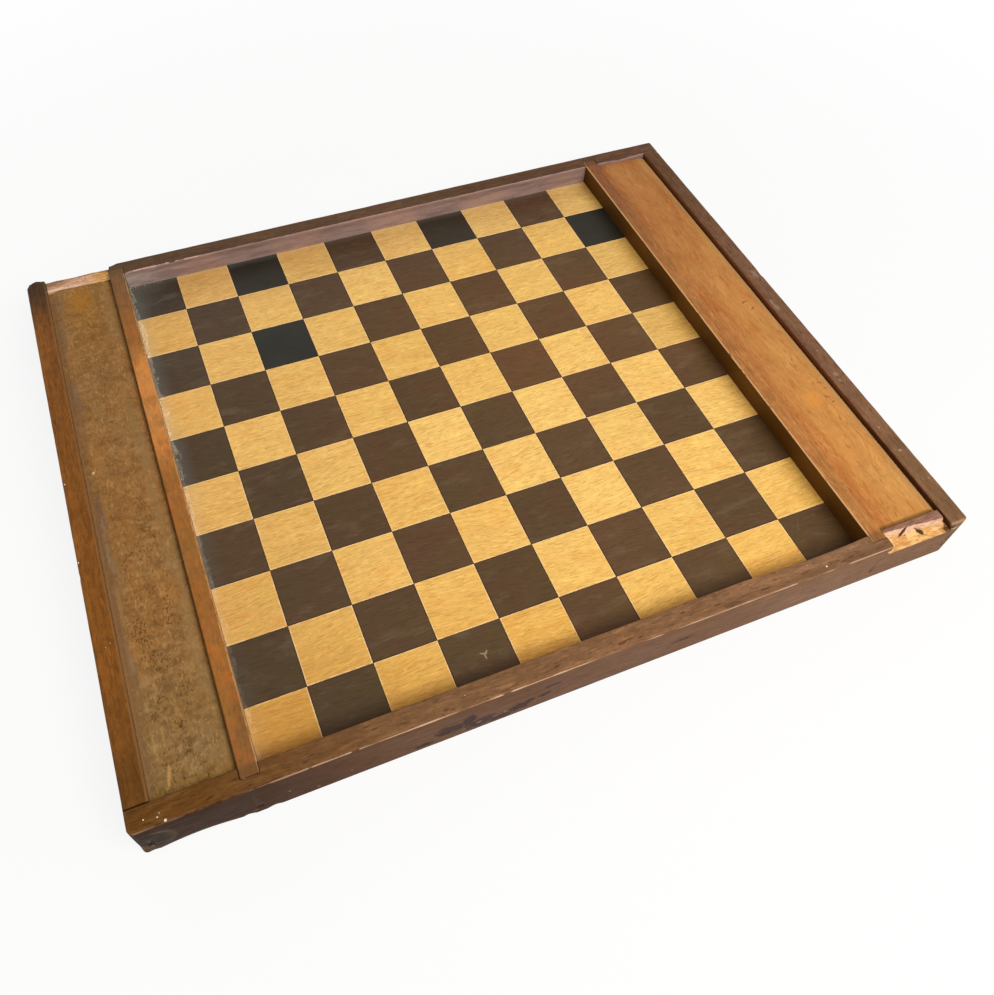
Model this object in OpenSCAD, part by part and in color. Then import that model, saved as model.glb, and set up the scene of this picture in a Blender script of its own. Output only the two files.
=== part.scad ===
// Reversible board for draughts and chess, with a box for the men at each end.
// A veneered panel is held in grooves at half the height of the rim, so each
// face lies in a tray. Draughts face up; the chess face is underneath.
// Each end box has a fixed bottom board and a bevelled lid. The right lid
// slides out to the front and the left lid to the back, over a long rail that
// is cut down for it. Turning the board half round swaps its two ends.
// Millimetres. Origin at the middle of the underside, X along the board.

/* [Playing panel] */
// Side of one draughts square
square = 30; // [20:1:45]
// Draughts squares along each side
draughts_n = 10; // [8:2:12]
// Chess squares along each side
chess_n = 8; // [6:2:10]
// Thickness of the board that carries the veneers
core_t = 4; // [3:0.5:8]
// Thickness of the veneer squares
veneer_t = 1; // [0.6:0.1:2]
// Glue line between neighbouring squares
glue_line = 0.1; // [0.05:0.05:0.4]
// How far the panel's edges enter their grooves
panel_bite = 2.5; // [1.5:0.25:3]

/* [Rim] */
// Height of the rim, which is the thickness of the whole board
rim_h = 30; // [28:1:45]
// Thickness of the four outer rails
rail_t = 10; // [9:0.5:16]
// Thickness of the two dividers
divider_t = 8; // [7:0.5:14]
// How far the dividers' ends are let into the long rails
housing_d = 4.5; // [2:0.5:6]
// Radius of the outer corners, seen from above
corner_r = 3; // [1:0.5:6]
// Radius worn on the outer long edges
outer_edge_r = 1.2; // [0.5:0.1:2]
// Radius of the eased inner edges
inner_edge_r = 0.7; // [0.3:0.1:1.2]

/* [End boxes] */
// Clear width of each end box
box_w = 34.5; // [20:0.5:60]
// Thickness of the fixed bottom boards
floor_t = 3; // [2:0.5:5]
// Height of the bottom boards above the underside
floor_up = 2; // [1.5:0.5:4]
// How far the bottom boards' edges enter their grooves
floor_bite = 2.5; // [1.5:0.25:3]

/* [Sliding lids] */
// Thickness of a lid in its middle
lid_t = 4; // [3:0.25:6]
// Thickness of a lid at its long edges
lid_edge_t = 1.8; // [1.2:0.1:2.4]
// How far the long edges enter their grooves
lid_bite = 2.4; // [1.5:0.1:3]
// Width of the bevel, from the long edge inwards
bevel_w = 7.6; // [5:0.2:9]
// Wood left above the lid grooves
groove_drop = 3.8; // [3:0.1:6]
// Play of a lid above, below and beside its grooves
lid_play = 0.15; // [0.1:0.05:0.3]
// Gap between a closed lid and the rail it stops against
stop_gap = 0.3; // [0.2:0.1:1]

/* [Broken battens] */
// Width left on top of the right batten, at the divider
lip_near = 1.6; // [0.5:0.1:3]
// Width left on top of the right batten, at the rail
lip_far = 4.4; // [3:0.1:6]
// Lean of the right batten's torn face
tear_lean = 28; // [10:1:35]
// Thickness left of the left batten, at the divider
stub_near = 0.7; // [0.4:0.1:3]
// Thickness left of the left batten, at the rail
stub_far = 1.7; // [0.4:0.1:3]
// Depth of the splinters in the torn faces
splinter = 0.35; // [0.1:0.05:0.6]

/* [Nails] */
// Diameter of the nails through the long rails
nail_d = 1.4; // [1:0.1:2]
// Length of the nails through the long rails
nail_l = 24; // [18:1:40]
// Diameter of a nail's head
nail_head_d = 2.4; // [2.2:0.1:3]
// Height of a nail's head
nail_head_t = 0.8; // [0.5:0.1:1.2]
// Depth of the heads below the surface
nail_sunk = 0.3; // [0.1:0.1:1]
// Diameter of the brads that held the battens
brad_d = 1.2; // [0.8:0.1:1.6]
// Distance between a batten's two brads
brad_spacing = 10; // [6:1:16]
// Distance of the brads from the batten's inner edge
brad_inset = 4.5; // [3:0.5:6]

/* [Hidden] */

fit_gap = 0.2;        // room at the bottom of a groove that holds a fixed board
side_gap = 0.2;       // room beside a batten
nail_gap = 0.03;      // room around a driven nail
over = 1;             // overshoot of a cutter past a face
splinters = 14;       // facets across a torn face
splinter_turn = 137;  // degrees of a sine from one facet to the next, so that their depths vary

// Panel: its edges lie in the grooves, so the rim covers them
panel_w = draughts_n * square;
panel_t = core_t + 2 * veneer_t;
panel_z = (rim_h - panel_t) / 2;
top_veneer_z = panel_z + veneer_t + core_t;
field_w = panel_w - 2 * panel_bite;
chess_square = panel_w / chess_n;

// Long direction: field, divider, box, rail
divider_x = field_w / 2;
box_x = divider_x + divider_t;
side_rail_x = box_x + box_w;
board_l = 2 * (side_rail_x + rail_t);

// Short direction: field, rail
rail_y = field_w / 2;
board_w = 2 * (rail_y + rail_t);

// Lid and its grooves: the edge is thicker at the groove's mouth than at its end
mouth_t = lid_edge_t + (lid_t - lid_edge_t) * lid_bite / bevel_w;
groove_h = mouth_t + 2 * lid_play;
groove_z = rim_h - groove_drop - groove_h;
groove_d = lid_bite + lid_play;
lid_z = groove_z + lid_play;
seat_z = lid_z + mouth_t;

// Nails go between the bottom board's groove and the panel's
nail_low_z = (floor_up + floor_t + panel_z) / 2;
nail_high_z = panel_z + panel_t / 2;
brad_y = -rail_y - brad_inset;

// Torn faces run across a lid and a little past it
tear_x = box_x - lid_bite - over;
tear_w = box_w + 2 * (lid_bite + over);
tear_reach = 2 * rim_h;

dark_brown = "#4d3323";
red_brown = "#7a4a2a";
orange_brown = "#9a6230";
golden = "#dca65a";
chocolate = "#4a3426";
raw_wood = "#d9a066";
pale_wood = "#b99a6b";
iron = "#4b4743";

// Rectangle about its centre with four rounded corners
module soft_rect(w, h, r) {
    difference() {
        square([w, h], center = true);
        for (sx = [0, 1], sy = [0, 1])
            mirror([sx, 0]) mirror([0, sy]) translate([w / 2 - r, h / 2 - r])
                difference() {
                    square(r + over);
                    circle(r, $fn = 48);
                }
    }
}

// Outside of the whole board: rounded corners and worn outer edges
module outer_form() {
    intersection() {
        linear_extrude(rim_h) soft_rect(board_l, board_w, corner_r);
        translate([0, board_w, rim_h / 2]) rotate([90, 0, 0])
            linear_extrude(2 * board_w) soft_rect(board_l, rim_h, outer_edge_r);
        translate([-board_l, 0, rim_h / 2]) rotate([90, 0, 90])
            linear_extrude(2 * board_l) soft_rect(board_w, rim_h, outer_edge_r);
    }
}

// Section of a rail: eased edges on the inner side, which is at 0
module rail_section() {
    difference() {
        square([rail_t, rim_h]);
        for (top = [0, 1]) translate([0, top * rim_h]) mirror([0, top])
            difference() {
                translate([-over, -over]) square(inner_edge_r + over);
                translate([inner_edge_r, inner_edge_r]) circle(inner_edge_r, $fn = 32);
            }
    }
}

// Block between two opposite corners
module block(low, high) {
    translate(low) cube([for (k = [0:2]) high[k] - low[k]]);
}

// Holes of the nails through the front rail, or the nails themselves
module nail_row(play, head_space) {
    places = [
        for (s = [-1, 1]) [s * (divider_x + divider_t / 2), nail_low_z],
        for (s = [-1, 1], z = [nail_low_z, nail_high_z]) [s * (side_rail_x + rail_t / 2), z]
    ];
    for (p = places) translate([p[0], -board_w / 2 + nail_sunk, p[1]]) rotate([-90, 0, 0]) {
        cylinder(d = nail_d + 2 * play, h = nail_l, $fn = 32);
        translate([0, 0, -head_space])
            cylinder(d = nail_head_d + 2 * play, h = nail_head_t + head_space, $fn = 32);
    }
}

// Front rail: whole at its left end, cut down for lid and lap at its right end
module long_rail() {
    difference() {
        intersection() {
            outer_form();
            translate([-board_l / 2, -rail_y, 0]) rotate([90, 0, 90])
                linear_extrude(board_l) mirror([1, 0]) rail_section();
        }
        // Notch that the lid passes over and that takes the side rail's lap
        block([box_x, -board_w / 2 - over, groove_z], [board_l / 2 + over, -rail_y + over, rim_h + over]);
        // Way of the lid's edge under the end of the whole part
        block([box_x - groove_d, -board_w / 2 - over, groove_z],
               [box_x + over, -rail_y + over, groove_z + groove_h]);
        // Housings of the dividers
        for (x = [-box_x, divider_x])
            block([x, -rail_y - housing_d, -over], [x + divider_t, -rail_y + over, rim_h + over]);
        // Groove of the panel
        block([-divider_x - over, -rail_y - panel_bite - fit_gap, panel_z],
               [divider_x + over, -rail_y + over, panel_z + panel_t]);
        // Grooves of the bottom boards
        for (s = [0, 1]) mirror([s, 0, 0])
            block([box_x - over, -rail_y - floor_bite - fit_gap, floor_up],
                   [side_rail_x + floor_bite + fit_gap, -rail_y + over, floor_up + floor_t]);
        nail_row(nail_gap, over);
    }
}

// Right rail: butts against the back rail and laps over the front rail
module side_rail() {
    difference() {
        intersection() {
            outer_form();
            translate([side_rail_x, rail_y, 0]) rotate([90, 0, 0])
                linear_extrude(2 * rail_y + rail_t) rail_section();
        }
        // Room for the cut-down end of the front rail
        block([side_rail_x - over, -board_w / 2 - over, -over],
               [board_l / 2 + over, -rail_y, groove_z]);
        // Lid groove, open through the lap
        block([side_rail_x - over, -board_w / 2 - over, groove_z],
               [side_rail_x + groove_d, rail_y + over, groove_z + groove_h]);
        // Groove of the bottom board
        block([side_rail_x - over, -rail_y - over, floor_up],
               [side_rail_x + floor_bite + fit_gap, rail_y + over, floor_up + floor_t]);
        nail_row(nail_gap, over);
        rotate([0, 0, 180]) nail_row(nail_gap, over);
    }
}

// Right divider: let into both long rails, grooved for panel, lid and bottom board
module divider() {
    half = rail_y + housing_d;
    difference() {
        translate([divider_x + divider_t / 2, half, rim_h / 2]) rotate([90, 0, 0])
            linear_extrude(2 * half) soft_rect(divider_t, rim_h, inner_edge_r);
        block([divider_x - over, -half - over, panel_z],
               [divider_x + panel_bite + fit_gap, half + over, panel_z + panel_t]);
        block([box_x - groove_d, -half - over, groove_z],
               [box_x + over, half + over, groove_z + groove_h]);
        block([box_x - floor_bite - fit_gap, -half - over, floor_up],
               [box_x + over, half + over, floor_up + floor_t]);
        nail_row(nail_gap, over);
        rotate([0, 0, 180]) nail_row(nail_gap, over);
    }
}

// Chequered veneers of one colour: odd = 1 takes the squares whose count is odd
module chequers(n, side, z, odd) {
    for (i = [0:n - 1], j = [0:n - 1])
        if ((i + j) % 2 == odd)
            translate([(i - n / 2) * side + glue_line / 2, (j - n / 2) * side + glue_line / 2, z])
                cube([side - glue_line, side - glue_line, veneer_t]);
}

// Fixed bottom board of the right box
module box_floor() {
    block([box_x - floor_bite, -rail_y - floor_bite, floor_up],
           [side_rail_x + floor_bite, rail_y + floor_bite, floor_up + floor_t]);
}

// Right lid, whole: bevelled long edges and a seat for its batten at the front
module lid_board() {
    low_x = box_x - lid_bite;
    high_x = side_rail_x + lid_bite;
    difference() {
        translate([0, rail_y - stop_gap, lid_z]) rotate([90, 0, 0])
            linear_extrude(board_w / 2 + rail_y - stop_gap)
                polygon([
                    [low_x, 0], [high_x, 0], [high_x, lid_edge_t], [high_x - bevel_w, lid_t],
                    [low_x + bevel_w, lid_t], [low_x, lid_edge_t]
                ]);
        block([low_x - over, -board_w / 2 - over, seat_z], [high_x + over, -rail_y, rim_h]);
        brads(nail_gap, over);
    }
}

// Right batten, whole: it fills the notch up to the rim's top
module batten() {
    difference() {
        intersection() {
            outer_form();
            block([box_x + side_gap, -board_w / 2, seat_z],
                   [side_rail_x - side_gap, -rail_y, rim_h]);
        }
        brads(nail_gap, over);
    }
}

// Two brads from the lid's underside up into the batten, or their holes
module brads(play, below) {
    for (s = [-1, 1])
        translate([box_x + box_w / 2 + s * brad_spacing / 2, brad_y, lid_z - below])
            cylinder(d = brad_d + 2 * play, h = below + mouth_t + stub_near / 2, $fn = 32);
}

// Jagged line across a tear: how far it stands off, from the divider to the rail
function torn_line(near, far) = [
    for (i = [0:splinters])
        [tear_x + i * tear_w / splinters,
         near + (far - near) * i / splinters + splinter * sin(i * splinter_turn)]
];

// Piece broken off the right lid: all that lies in front of a leaning torn face
module right_break() {
    translate([0, -rail_y, rim_h]) rotate([-tear_lean, 0, 0])
        linear_extrude(2 * tear_reach, center = true)
            polygon(concat(
                [for (p = torn_line(lip_near, lip_far)) [p[0], -p[1] * cos(tear_lean)]],
                [[tear_x + tear_w, -tear_reach], [tear_x, -tear_reach]]
            ));
}

// Piece broken off the left lid's batten: all that lies above a rough slope
module left_break() {
    translate([0, -rail_y + over, seat_z]) rotate([90, 0, 0])
        linear_extrude(rail_t + 2 * over)
            polygon(concat(
                torn_line(stub_near, stub_far),
                [[tear_x + tear_w, rim_h], [tear_x, rim_h]]
            ));
}

// Turns a right or front piece into the left or back one
module turned() {
    rotate([0, 0, 180]) children();
}

module front_rail() { color(red_brown) long_rail(); }
module back_rail() { color(dark_brown) turned() long_rail(); }
module left_rail() { color(red_brown) turned() side_rail(); }
module right_rail() { color(dark_brown) side_rail(); }
module left_divider() { color(orange_brown) turned() divider(); }
module right_divider() { color(orange_brown) divider(); }

module panel_core() {
    color(pale_wood) translate([-panel_w / 2, -panel_w / 2, panel_z + veneer_t])
        cube([panel_w, panel_w, core_t]);
}

module draughts_light_squares() { color(golden) chequers(draughts_n, square, top_veneer_z, 0); }
module draughts_dark_squares() { color(chocolate) chequers(draughts_n, square, top_veneer_z, 1); }
module chess_light_squares() { color(golden) chequers(chess_n, chess_square, panel_z, 0); }
module chess_dark_squares() { color(chocolate) chequers(chess_n, chess_square, panel_z, 1); }

module left_floor() { color(pale_wood) turned() box_floor(); }
module right_floor() { color(pale_wood) box_floor(); }
module left_lid() { color(orange_brown) turned() lid_board(); }
module right_lid() { color(orange_brown) difference() { lid_board(); right_break(); } }
module left_lid_batten() { color(raw_wood) turned() difference() { batten(); left_break(); } }
module right_lid_batten() { color(raw_wood) difference() { batten(); right_break(); } }
module left_lid_brads() { color(iron) turned() brads(0, 0); }
module right_lid_brads() { color(iron) difference() { brads(0, 0); right_break(); } }
module front_nails() { color(iron) nail_row(0, 0); }
module back_nails() { color(iron) turned() nail_row(0, 0); }

front_rail();
back_rail();
left_rail();
right_rail();
left_divider();
right_divider();
panel_core();
draughts_light_squares();
draughts_dark_squares();
chess_light_squares();
chess_dark_squares();
left_floor();
right_floor();
left_lid();
right_lid();
left_lid_batten();
right_lid_batten();
left_lid_brads();
right_lid_brads();
front_nails();
back_nails();
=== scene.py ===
import bpy
import bmesh
import math
import random
from mathutils import Matrix, Vector, noise


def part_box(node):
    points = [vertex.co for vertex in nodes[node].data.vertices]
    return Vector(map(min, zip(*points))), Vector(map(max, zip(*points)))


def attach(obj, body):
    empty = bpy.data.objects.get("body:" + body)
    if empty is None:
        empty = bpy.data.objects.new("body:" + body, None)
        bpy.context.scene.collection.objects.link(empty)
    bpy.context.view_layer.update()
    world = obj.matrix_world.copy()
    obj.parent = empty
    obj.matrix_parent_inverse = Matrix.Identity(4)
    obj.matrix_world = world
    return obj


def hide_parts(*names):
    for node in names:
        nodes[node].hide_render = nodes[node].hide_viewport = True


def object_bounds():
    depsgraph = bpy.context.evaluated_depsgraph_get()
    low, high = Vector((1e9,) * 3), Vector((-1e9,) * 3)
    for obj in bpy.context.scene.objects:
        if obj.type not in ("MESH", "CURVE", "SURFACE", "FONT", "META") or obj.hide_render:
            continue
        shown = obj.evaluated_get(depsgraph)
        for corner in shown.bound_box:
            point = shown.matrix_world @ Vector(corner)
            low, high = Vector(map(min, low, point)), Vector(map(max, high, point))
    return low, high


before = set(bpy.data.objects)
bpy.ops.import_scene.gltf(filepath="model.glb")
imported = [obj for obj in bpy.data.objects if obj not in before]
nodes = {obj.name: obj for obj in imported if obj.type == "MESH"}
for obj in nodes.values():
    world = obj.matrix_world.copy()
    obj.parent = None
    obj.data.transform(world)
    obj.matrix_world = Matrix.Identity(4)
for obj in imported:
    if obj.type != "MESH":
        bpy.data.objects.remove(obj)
cad_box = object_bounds()
MM = 0.001

# The bottom boards' tongue and the lids' play, as the solids have them
FLOOR_TONGUE = 2.5 * MM
PLAY = 0.15 * MM

# Main sizes, read from the frame
HALF_L, HALF_W, RIM_H = cad_box[1]
RAIL_T = HALF_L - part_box("right_floor")[1].x + FLOOR_TONGUE
SIDE_X = HALF_L - RAIL_T
RAIL_Y = HALF_W - RAIL_T
DIV_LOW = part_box("right_divider")[0].x
DIV_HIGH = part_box("right_divider")[1].x
HOUSED_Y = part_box("right_divider")[1].y
FIELD_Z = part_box("draughts_light_squares")[1].z
SQUARE = 2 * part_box("draughts_light_squares")[1].x / 10
CHESS_SQUARE = 2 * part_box("chess_light_squares")[1].x / 8
NOTCH_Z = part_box("right_lid")[0].z - PLAY

# Sizes of what the scene adds
EASING = 0.12 * MM
VENEER_JOINT = 0.1 * MM

# The crest of an inner edge, in millimetres, and the slope of the torn face
INNER_CREST = 0.40
TORN_LEAN = math.tan(math.radians(28))


# Nodes, materials and pieces
class Nodes:
    """Adds nodes to a tree. An input takes a value, an output, or a node for its first output."""

    def __init__(self, tree):
        self.tree = tree

    def feed(self, socket, feed):
        if isinstance(feed, bpy.types.Node):
            feed = feed.outputs[0]
        if isinstance(feed, bpy.types.NodeSocket):
            self.tree.links.new(feed, socket)
        elif feed is not None:
            socket.default_value = feed

    def node(self, kind, *feeds, named=None, **settings):
        made = self.tree.nodes.new(kind)
        for key, value in settings.items():
            setattr(made, key, value)
        for key, feed in [*enumerate(feeds), *(named or {}).items()]:
            self.feed(made.inputs[key], feed)
        return made

    def math(self, what, *feeds, clamp=False):
        return self.node("ShaderNodeMath", *feeds, operation=what, use_clamp=clamp).outputs[0]

    def add(self, a, b):
        return self.math("ADD", a, b)

    def less(self, a, b):
        return self.math("SUBTRACT", a, b)

    def size_of(self, a):
        return self.math("ABSOLUTE", a)

    def all_of(self, first, *others):
        for other in others:
            first = self.math("MULTIPLY", first, other)
        return first

    def any_of(self, first, *others):
        for other in others:
            first = self.math("MAXIMUM", first, other)
        return first


class Finish(Nodes):
    """One finish on Object coordinates. A colour in round brackets is a display colour, one in square
    brackets is linear, and a mask is 1 where something is laid."""

    def __init__(self, name):
        self.material = bpy.data.materials.new(name)
        self.material.use_nodes = True
        super().__init__(self.material.node_tree)
        self.shader = self.tree.nodes["Principled BSDF"]
        self.place = self.node("ShaderNodeTexCoord").outputs["Object"]
        self.x, self.y, self.z = self.node("ShaderNodeSeparateXYZ", self.place).outputs
        self.colour = None
        self.rough = None
        self.height = None

    def ramp(self, value, start, end, low=0.0, high=1.0):
        return self.node("ShaderNodeMapRange", value, start, end, low, high, interpolation_type="SMOOTHSTEP")

    def mix(self, share, a, b, how="MIX"):
        feeds = {0: share, 6: linear(a), 7: linear(b)}
        return self.node("ShaderNodeMix", named=feeds, data_type="RGBA", blend_type=how).outputs[2]

    def own(self, name, output):
        """Reads an attribute of the piece's own mesh."""
        return self.node("ShaderNodeAttribute", attribute_name=name).outputs[output]

    def stretch(self, scale, shift=(0, 0, 0), turn=(0, 0, 0), place=None):
        angles = [math.radians(a) for a in turn]
        return self.node("ShaderNodeMapping", place or self.place, shift, angles, scale)

    def noise(self, scale, shift=(0, 0, 0), detail=3.0, rough=0.55, warp=0.0, turn=0, place=None):
        """Noise with one scale, or one for each axis. turn is about Z."""
        scale = [scale] * 3 if isinstance(scale, (int, float)) else scale
        feeds = {"Scale": 1.0, "Detail": detail, "Roughness": rough, "Distortion": warp}
        return self.node("ShaderNodeTexNoise", self.stretch(scale, shift, (0, 0, turn), place), named=feeds)

    def wander(self, reach, *feeds, **settings):
        """Noise that swings about nought, by reach in metres from end to end."""
        return self.all_of(self.less(self.noise(*feeds, **settings), 0.5), reach)

    def lay(self, mask, colour, share=None, how="MIX"):
        """Lays a colour over what is there, where the mask says, and no thicker than its share."""
        mask = mask if share is None else self.all_of(mask, share)
        self.colour = self.mix(mask, self.colour, colour, how)

    def dim(self, mask, *factors):
        """Multiplies red, green and blue by three factors, where the mask says."""
        self.lay(mask, [*factors, 1.0], how="MULTIPLY")

    def retone(self, mask, old, new):
        """Turns one tone into another where the mask says, and keeps the grain."""
        self.dim(mask, *(b / max(a, 0.002) for a, b in zip(linear(old)[:3], linear(new)[:3])))

    def near(self, value, at, width, soft=0.5):
        """1 where a coordinate is within width of a place, in metres."""
        return self.ramp(self.size_of(self.less(value, at)), width * (1 + soft), width * (1 - soft))

    def between(self, value, low, high, soft):
        rise = self.ramp(value, low - soft, low + soft)
        return self.all_of(rise, self.ramp(value, high + soft, high - soft))

    def upper_half(self):
        return self.ramp(self.z, RIM_H / 2, RIM_H / 2 + 1 * MM)

    def spots(self, rows, ragged=0.4, soft=0.3, grit=1.2):
        """A mask of ragged spots, each (centre, half lengths, turn about Z), in millimetres and degrees."""
        wobble = self.wander(2 * ragged, 1000 / grit, detail=2.0)
        found = []
        for centre, size, turn in rows:
            place = self.stretch((1, 1, 1), [-c * MM for c in centre])
            if turn:
                place = self.stretch((1, 1, 1), turn=(0, 0, -turn), place=place)
            place = self.stretch([1 / (s * MM) for s in size], place=place)
            far = self.node("ShaderNodeVectorMath", place, operation="LENGTH").outputs["Value"]
            found.append(self.ramp(self.add(far, wobble), 1 + soft, 1 - soft))
        return self.any_of(*found)

    def mark(self, rows, share, colour, **shape):
        """Lays a colour in ragged spots."""
        self.lay(self.spots(rows, **shape), colour, share)

    def done(self, bump, specular=0.2):
        """Feeds the shader. bump is the height of the grain, in metres."""
        raised = self.node("ShaderNodeBump", named={"Strength": 1.0, "Distance": bump, "Height": self.height})
        feeds = {"Base Color": self.colour, "Roughness": self.rough, "Specular IOR Level": specular,
                 "Normal": raised}
        for key, feed in feeds.items():
            self.feed(self.shader.inputs[key], feed)
        return self.material


def linear(colour):
    """The linear colour of a display colour of 0 to 255. Anything but a display colour is left as it is."""
    if not isinstance(colour, tuple):
        return colour
    return [((c / 255 + 0.055) / 1.055) ** 2.4 if c > 10 else c / 255 / 12.92 for c in colour] + [1.0]


def times(colour, *factors):
    """A linear colour times three factors, or one for all."""
    factors = factors * 3 if len(factors) == 1 else factors
    return [c * k for c, k in zip(linear(colour), factors)] + [1.0]


def shades(colour, spread=0.28):
    """The dark, middle and light tones of a wood, round a display colour."""
    return [times(colour, k) for k in (1 - spread, 1.0, 1 + spread)]


def with_settings(thing, **settings):
    for key, value in settings.items():
        setattr(thing, key, value)
    return thing


def shown(name, data):
    """Puts a mesh, a lamp or a camera into the scene."""
    thing = bpy.data.objects.new(name, data)
    bpy.context.scene.collection.objects.link(thing)
    return thing


def handed_in(piece, body, replaced=None):
    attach(piece, body)
    if replaced:
        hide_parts(replaced)


def solid(name, mesh, material, sharp):
    """An object from a bmesh, smooth but for edges sharper than an angle in degrees."""
    data = bpy.data.meshes.new(name)
    mesh.to_mesh(data)
    mesh.free()
    data.shade_smooth()
    data.set_sharp_from_angle(angle=math.radians(sharp))
    data.materials.append(material)
    return shown(name, data)


# The woods
def wood(name, along, tones, seed, bands=0.7, lines=0.5, line_size=(11.0, 1.1), glints=0.4, mottle=0.3,
         pores=0.5, pore_size=(5.0, 0.6), bend=0.5, wave=0.4, blotch=0.4, rough=(0.42, 0.6), place=None,
         line_tone=(0.62, 0.62, 0.62)):
    """Old hardwood. Broad bands run along one axis, mottling and blotches lie over them, and then come
    glints, thin dark lines and pores. tones are the dark, middle and light ones. A size is a length and a
    width, in millimetres."""
    f = Finish(name)
    base = place(f) if place else f.place

    def grain(length, width, shift, detail=2.0, roughness=0.6, warp=0.0):
        scale = [1000 / width] * 3
        scale[along] = 1000 / length
        return f.noise(scale, shift, detail, roughness, warp, place=bent)

    sideways = [0.0, 0.0, 0.0]
    sideways[1 - along] = 1.0
    pull = f.node("ShaderNodeVectorMath", sideways, operation="SCALE")
    slow_bend = f.noise(11, (seed, 0, 0), 1.0, place=base)
    quick_wave = f.noise(75, (0, seed, 0), 1.0, place=base)
    reach = f.add(f.all_of(slow_bend, 12 * MM * bend), f.all_of(quick_wave, 4 * MM * wave))
    f.feed(pull.inputs["Scale"], reach)
    bent = f.node("ShaderNodeVectorMath", base, pull, operation="ADD")

    band = grain(90, 4.5, (seed * 3.1, seed, 7), warp=0.4)
    line = grain(*line_size, (seed, 3, seed * 1.7))
    glint = grain(line_size[0] * 0.7, line_size[1] * 1.3, (seed * 0.7, 9, seed))
    pit = f.ramp(grain(*pore_size, (5, seed, 1), 1.5, 0.5), 0.60, 0.72)
    slow = f.noise(18, (2, seed * 2.3, 5), 2.0, 0.5, place=base)
    cloud = f.noise(260, (seed, seed, 8), 3.0, 0.65, place=base)

    dark, middle, light = tones
    f.colour = f.mix(f.ramp(band, 0.36, 0.64, 0.5 - bands / 2, 0.5 + bands / 2), dark, light)
    f.lay(0.3, middle)
    f.lay(f.ramp(cloud, 0.50, 0.66, 0.0, mottle), dark)
    f.lay(f.ramp(cloud, 0.48, 0.34, 0.0, mottle), light)
    f.lay(f.ramp(slow, 0.38, 0.68, 0.0, blotch), dark)
    f.lay(f.ramp(glint, 0.50, 0.66, 0.0, glints), times(light, 1.35))
    f.lay(f.ramp(line, 0.52, 0.64, 0.0, lines), times(dark, *line_tone))
    f.lay(pit, times(dark, 0.30), pores)
    f.rough = f.ramp(f.add(line, slow), 0.7, 1.3, *rough)
    f.height = f.less(f.all_of(glint, 0.6), f.add(pit, f.all_of(line, 0.5)))
    f.line = line
    f.slow = slow
    f.cloud = cloud
    return f


def edge_gap(f):
    """Nought on the board's nearest outer edge, and below nought away from it, by the sum of the distances
    to the two faces that meet there, in metres."""
    out_y = f.less(f.size_of(f.y), HALF_W)
    out_x = f.less(f.size_of(f.x), HALF_L)
    up = f.less(f.size_of(f.less(f.z, RIM_H / 2)), RIM_H / 2)
    return f.any_of(f.add(out_y, up), f.add(out_x, up), f.add(out_x, out_y))


def rubbed(f, colour, amount, gap=None, crest=0.72, width=0.5, breaks=0.5, where=1.0):
    """A pale line along an edge: rubbed wear, and in some calls a painted highlight as well. It is strongest
    where the gap is minus crest millimetres or less far, and fades out over its width. breaks says how much
    of it is missing, and where is a mask."""
    gap = gap or edge_gap(f)
    worn = f.noise(130, (crest, 2, 3), 4.0, 0.7)
    line = f.ramp(gap, -(crest + width) * MM, -crest * MM)
    f.lay(f.all_of(line, f.ramp(worn, 0.30 + breaks * 0.3, 0.42 + breaks * 0.3, 0.0, amount), where), colour)


def grime(f, amount, colour, size, low=0.5, high=0.72, seed=3.0):
    """Soft patches of dirt, about size millimetres across."""
    f.lay(f.ramp(f.noise(1000 / size, (seed, 1, 4), 4.0, 0.65), low, high, 0.0, amount), colour)


def flecks(f, amount, colour, size, low, seed, along, stretch):
    """Small hard spots, such as pits and spilt wax, stretched along one axis. size is in millimetres."""
    scale = [1000 / size] * 3
    scale[along] /= stretch
    f.lay(f.ramp(f.noise(scale, (seed, seed * 2, 4), 2.0, 0.5), low, low + 0.05, 0.0, amount), colour)


# Camera, light, floor
def seen_directly(t):
    """1 for a ray that comes from the camera, or by way of a reflection or clear glass."""
    path = t.node("ShaderNodeLightPath").outputs
    return t.any_of(path["Is Camera Ray"], path["Is Glossy Ray"], path["Is Transmission Ray"])


def lamp(name, place, aim, size, watts, colour):
    data = bpy.data.lights.new(name, "AREA")
    made = shown(name, with_settings(data, shape="SQUARE", size=size, energy=watts, color=colour))
    made.location = place
    made.rotation_euler = (Vector(aim) - Vector(place)).to_track_quat("-Z", "Y").to_euler()


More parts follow.
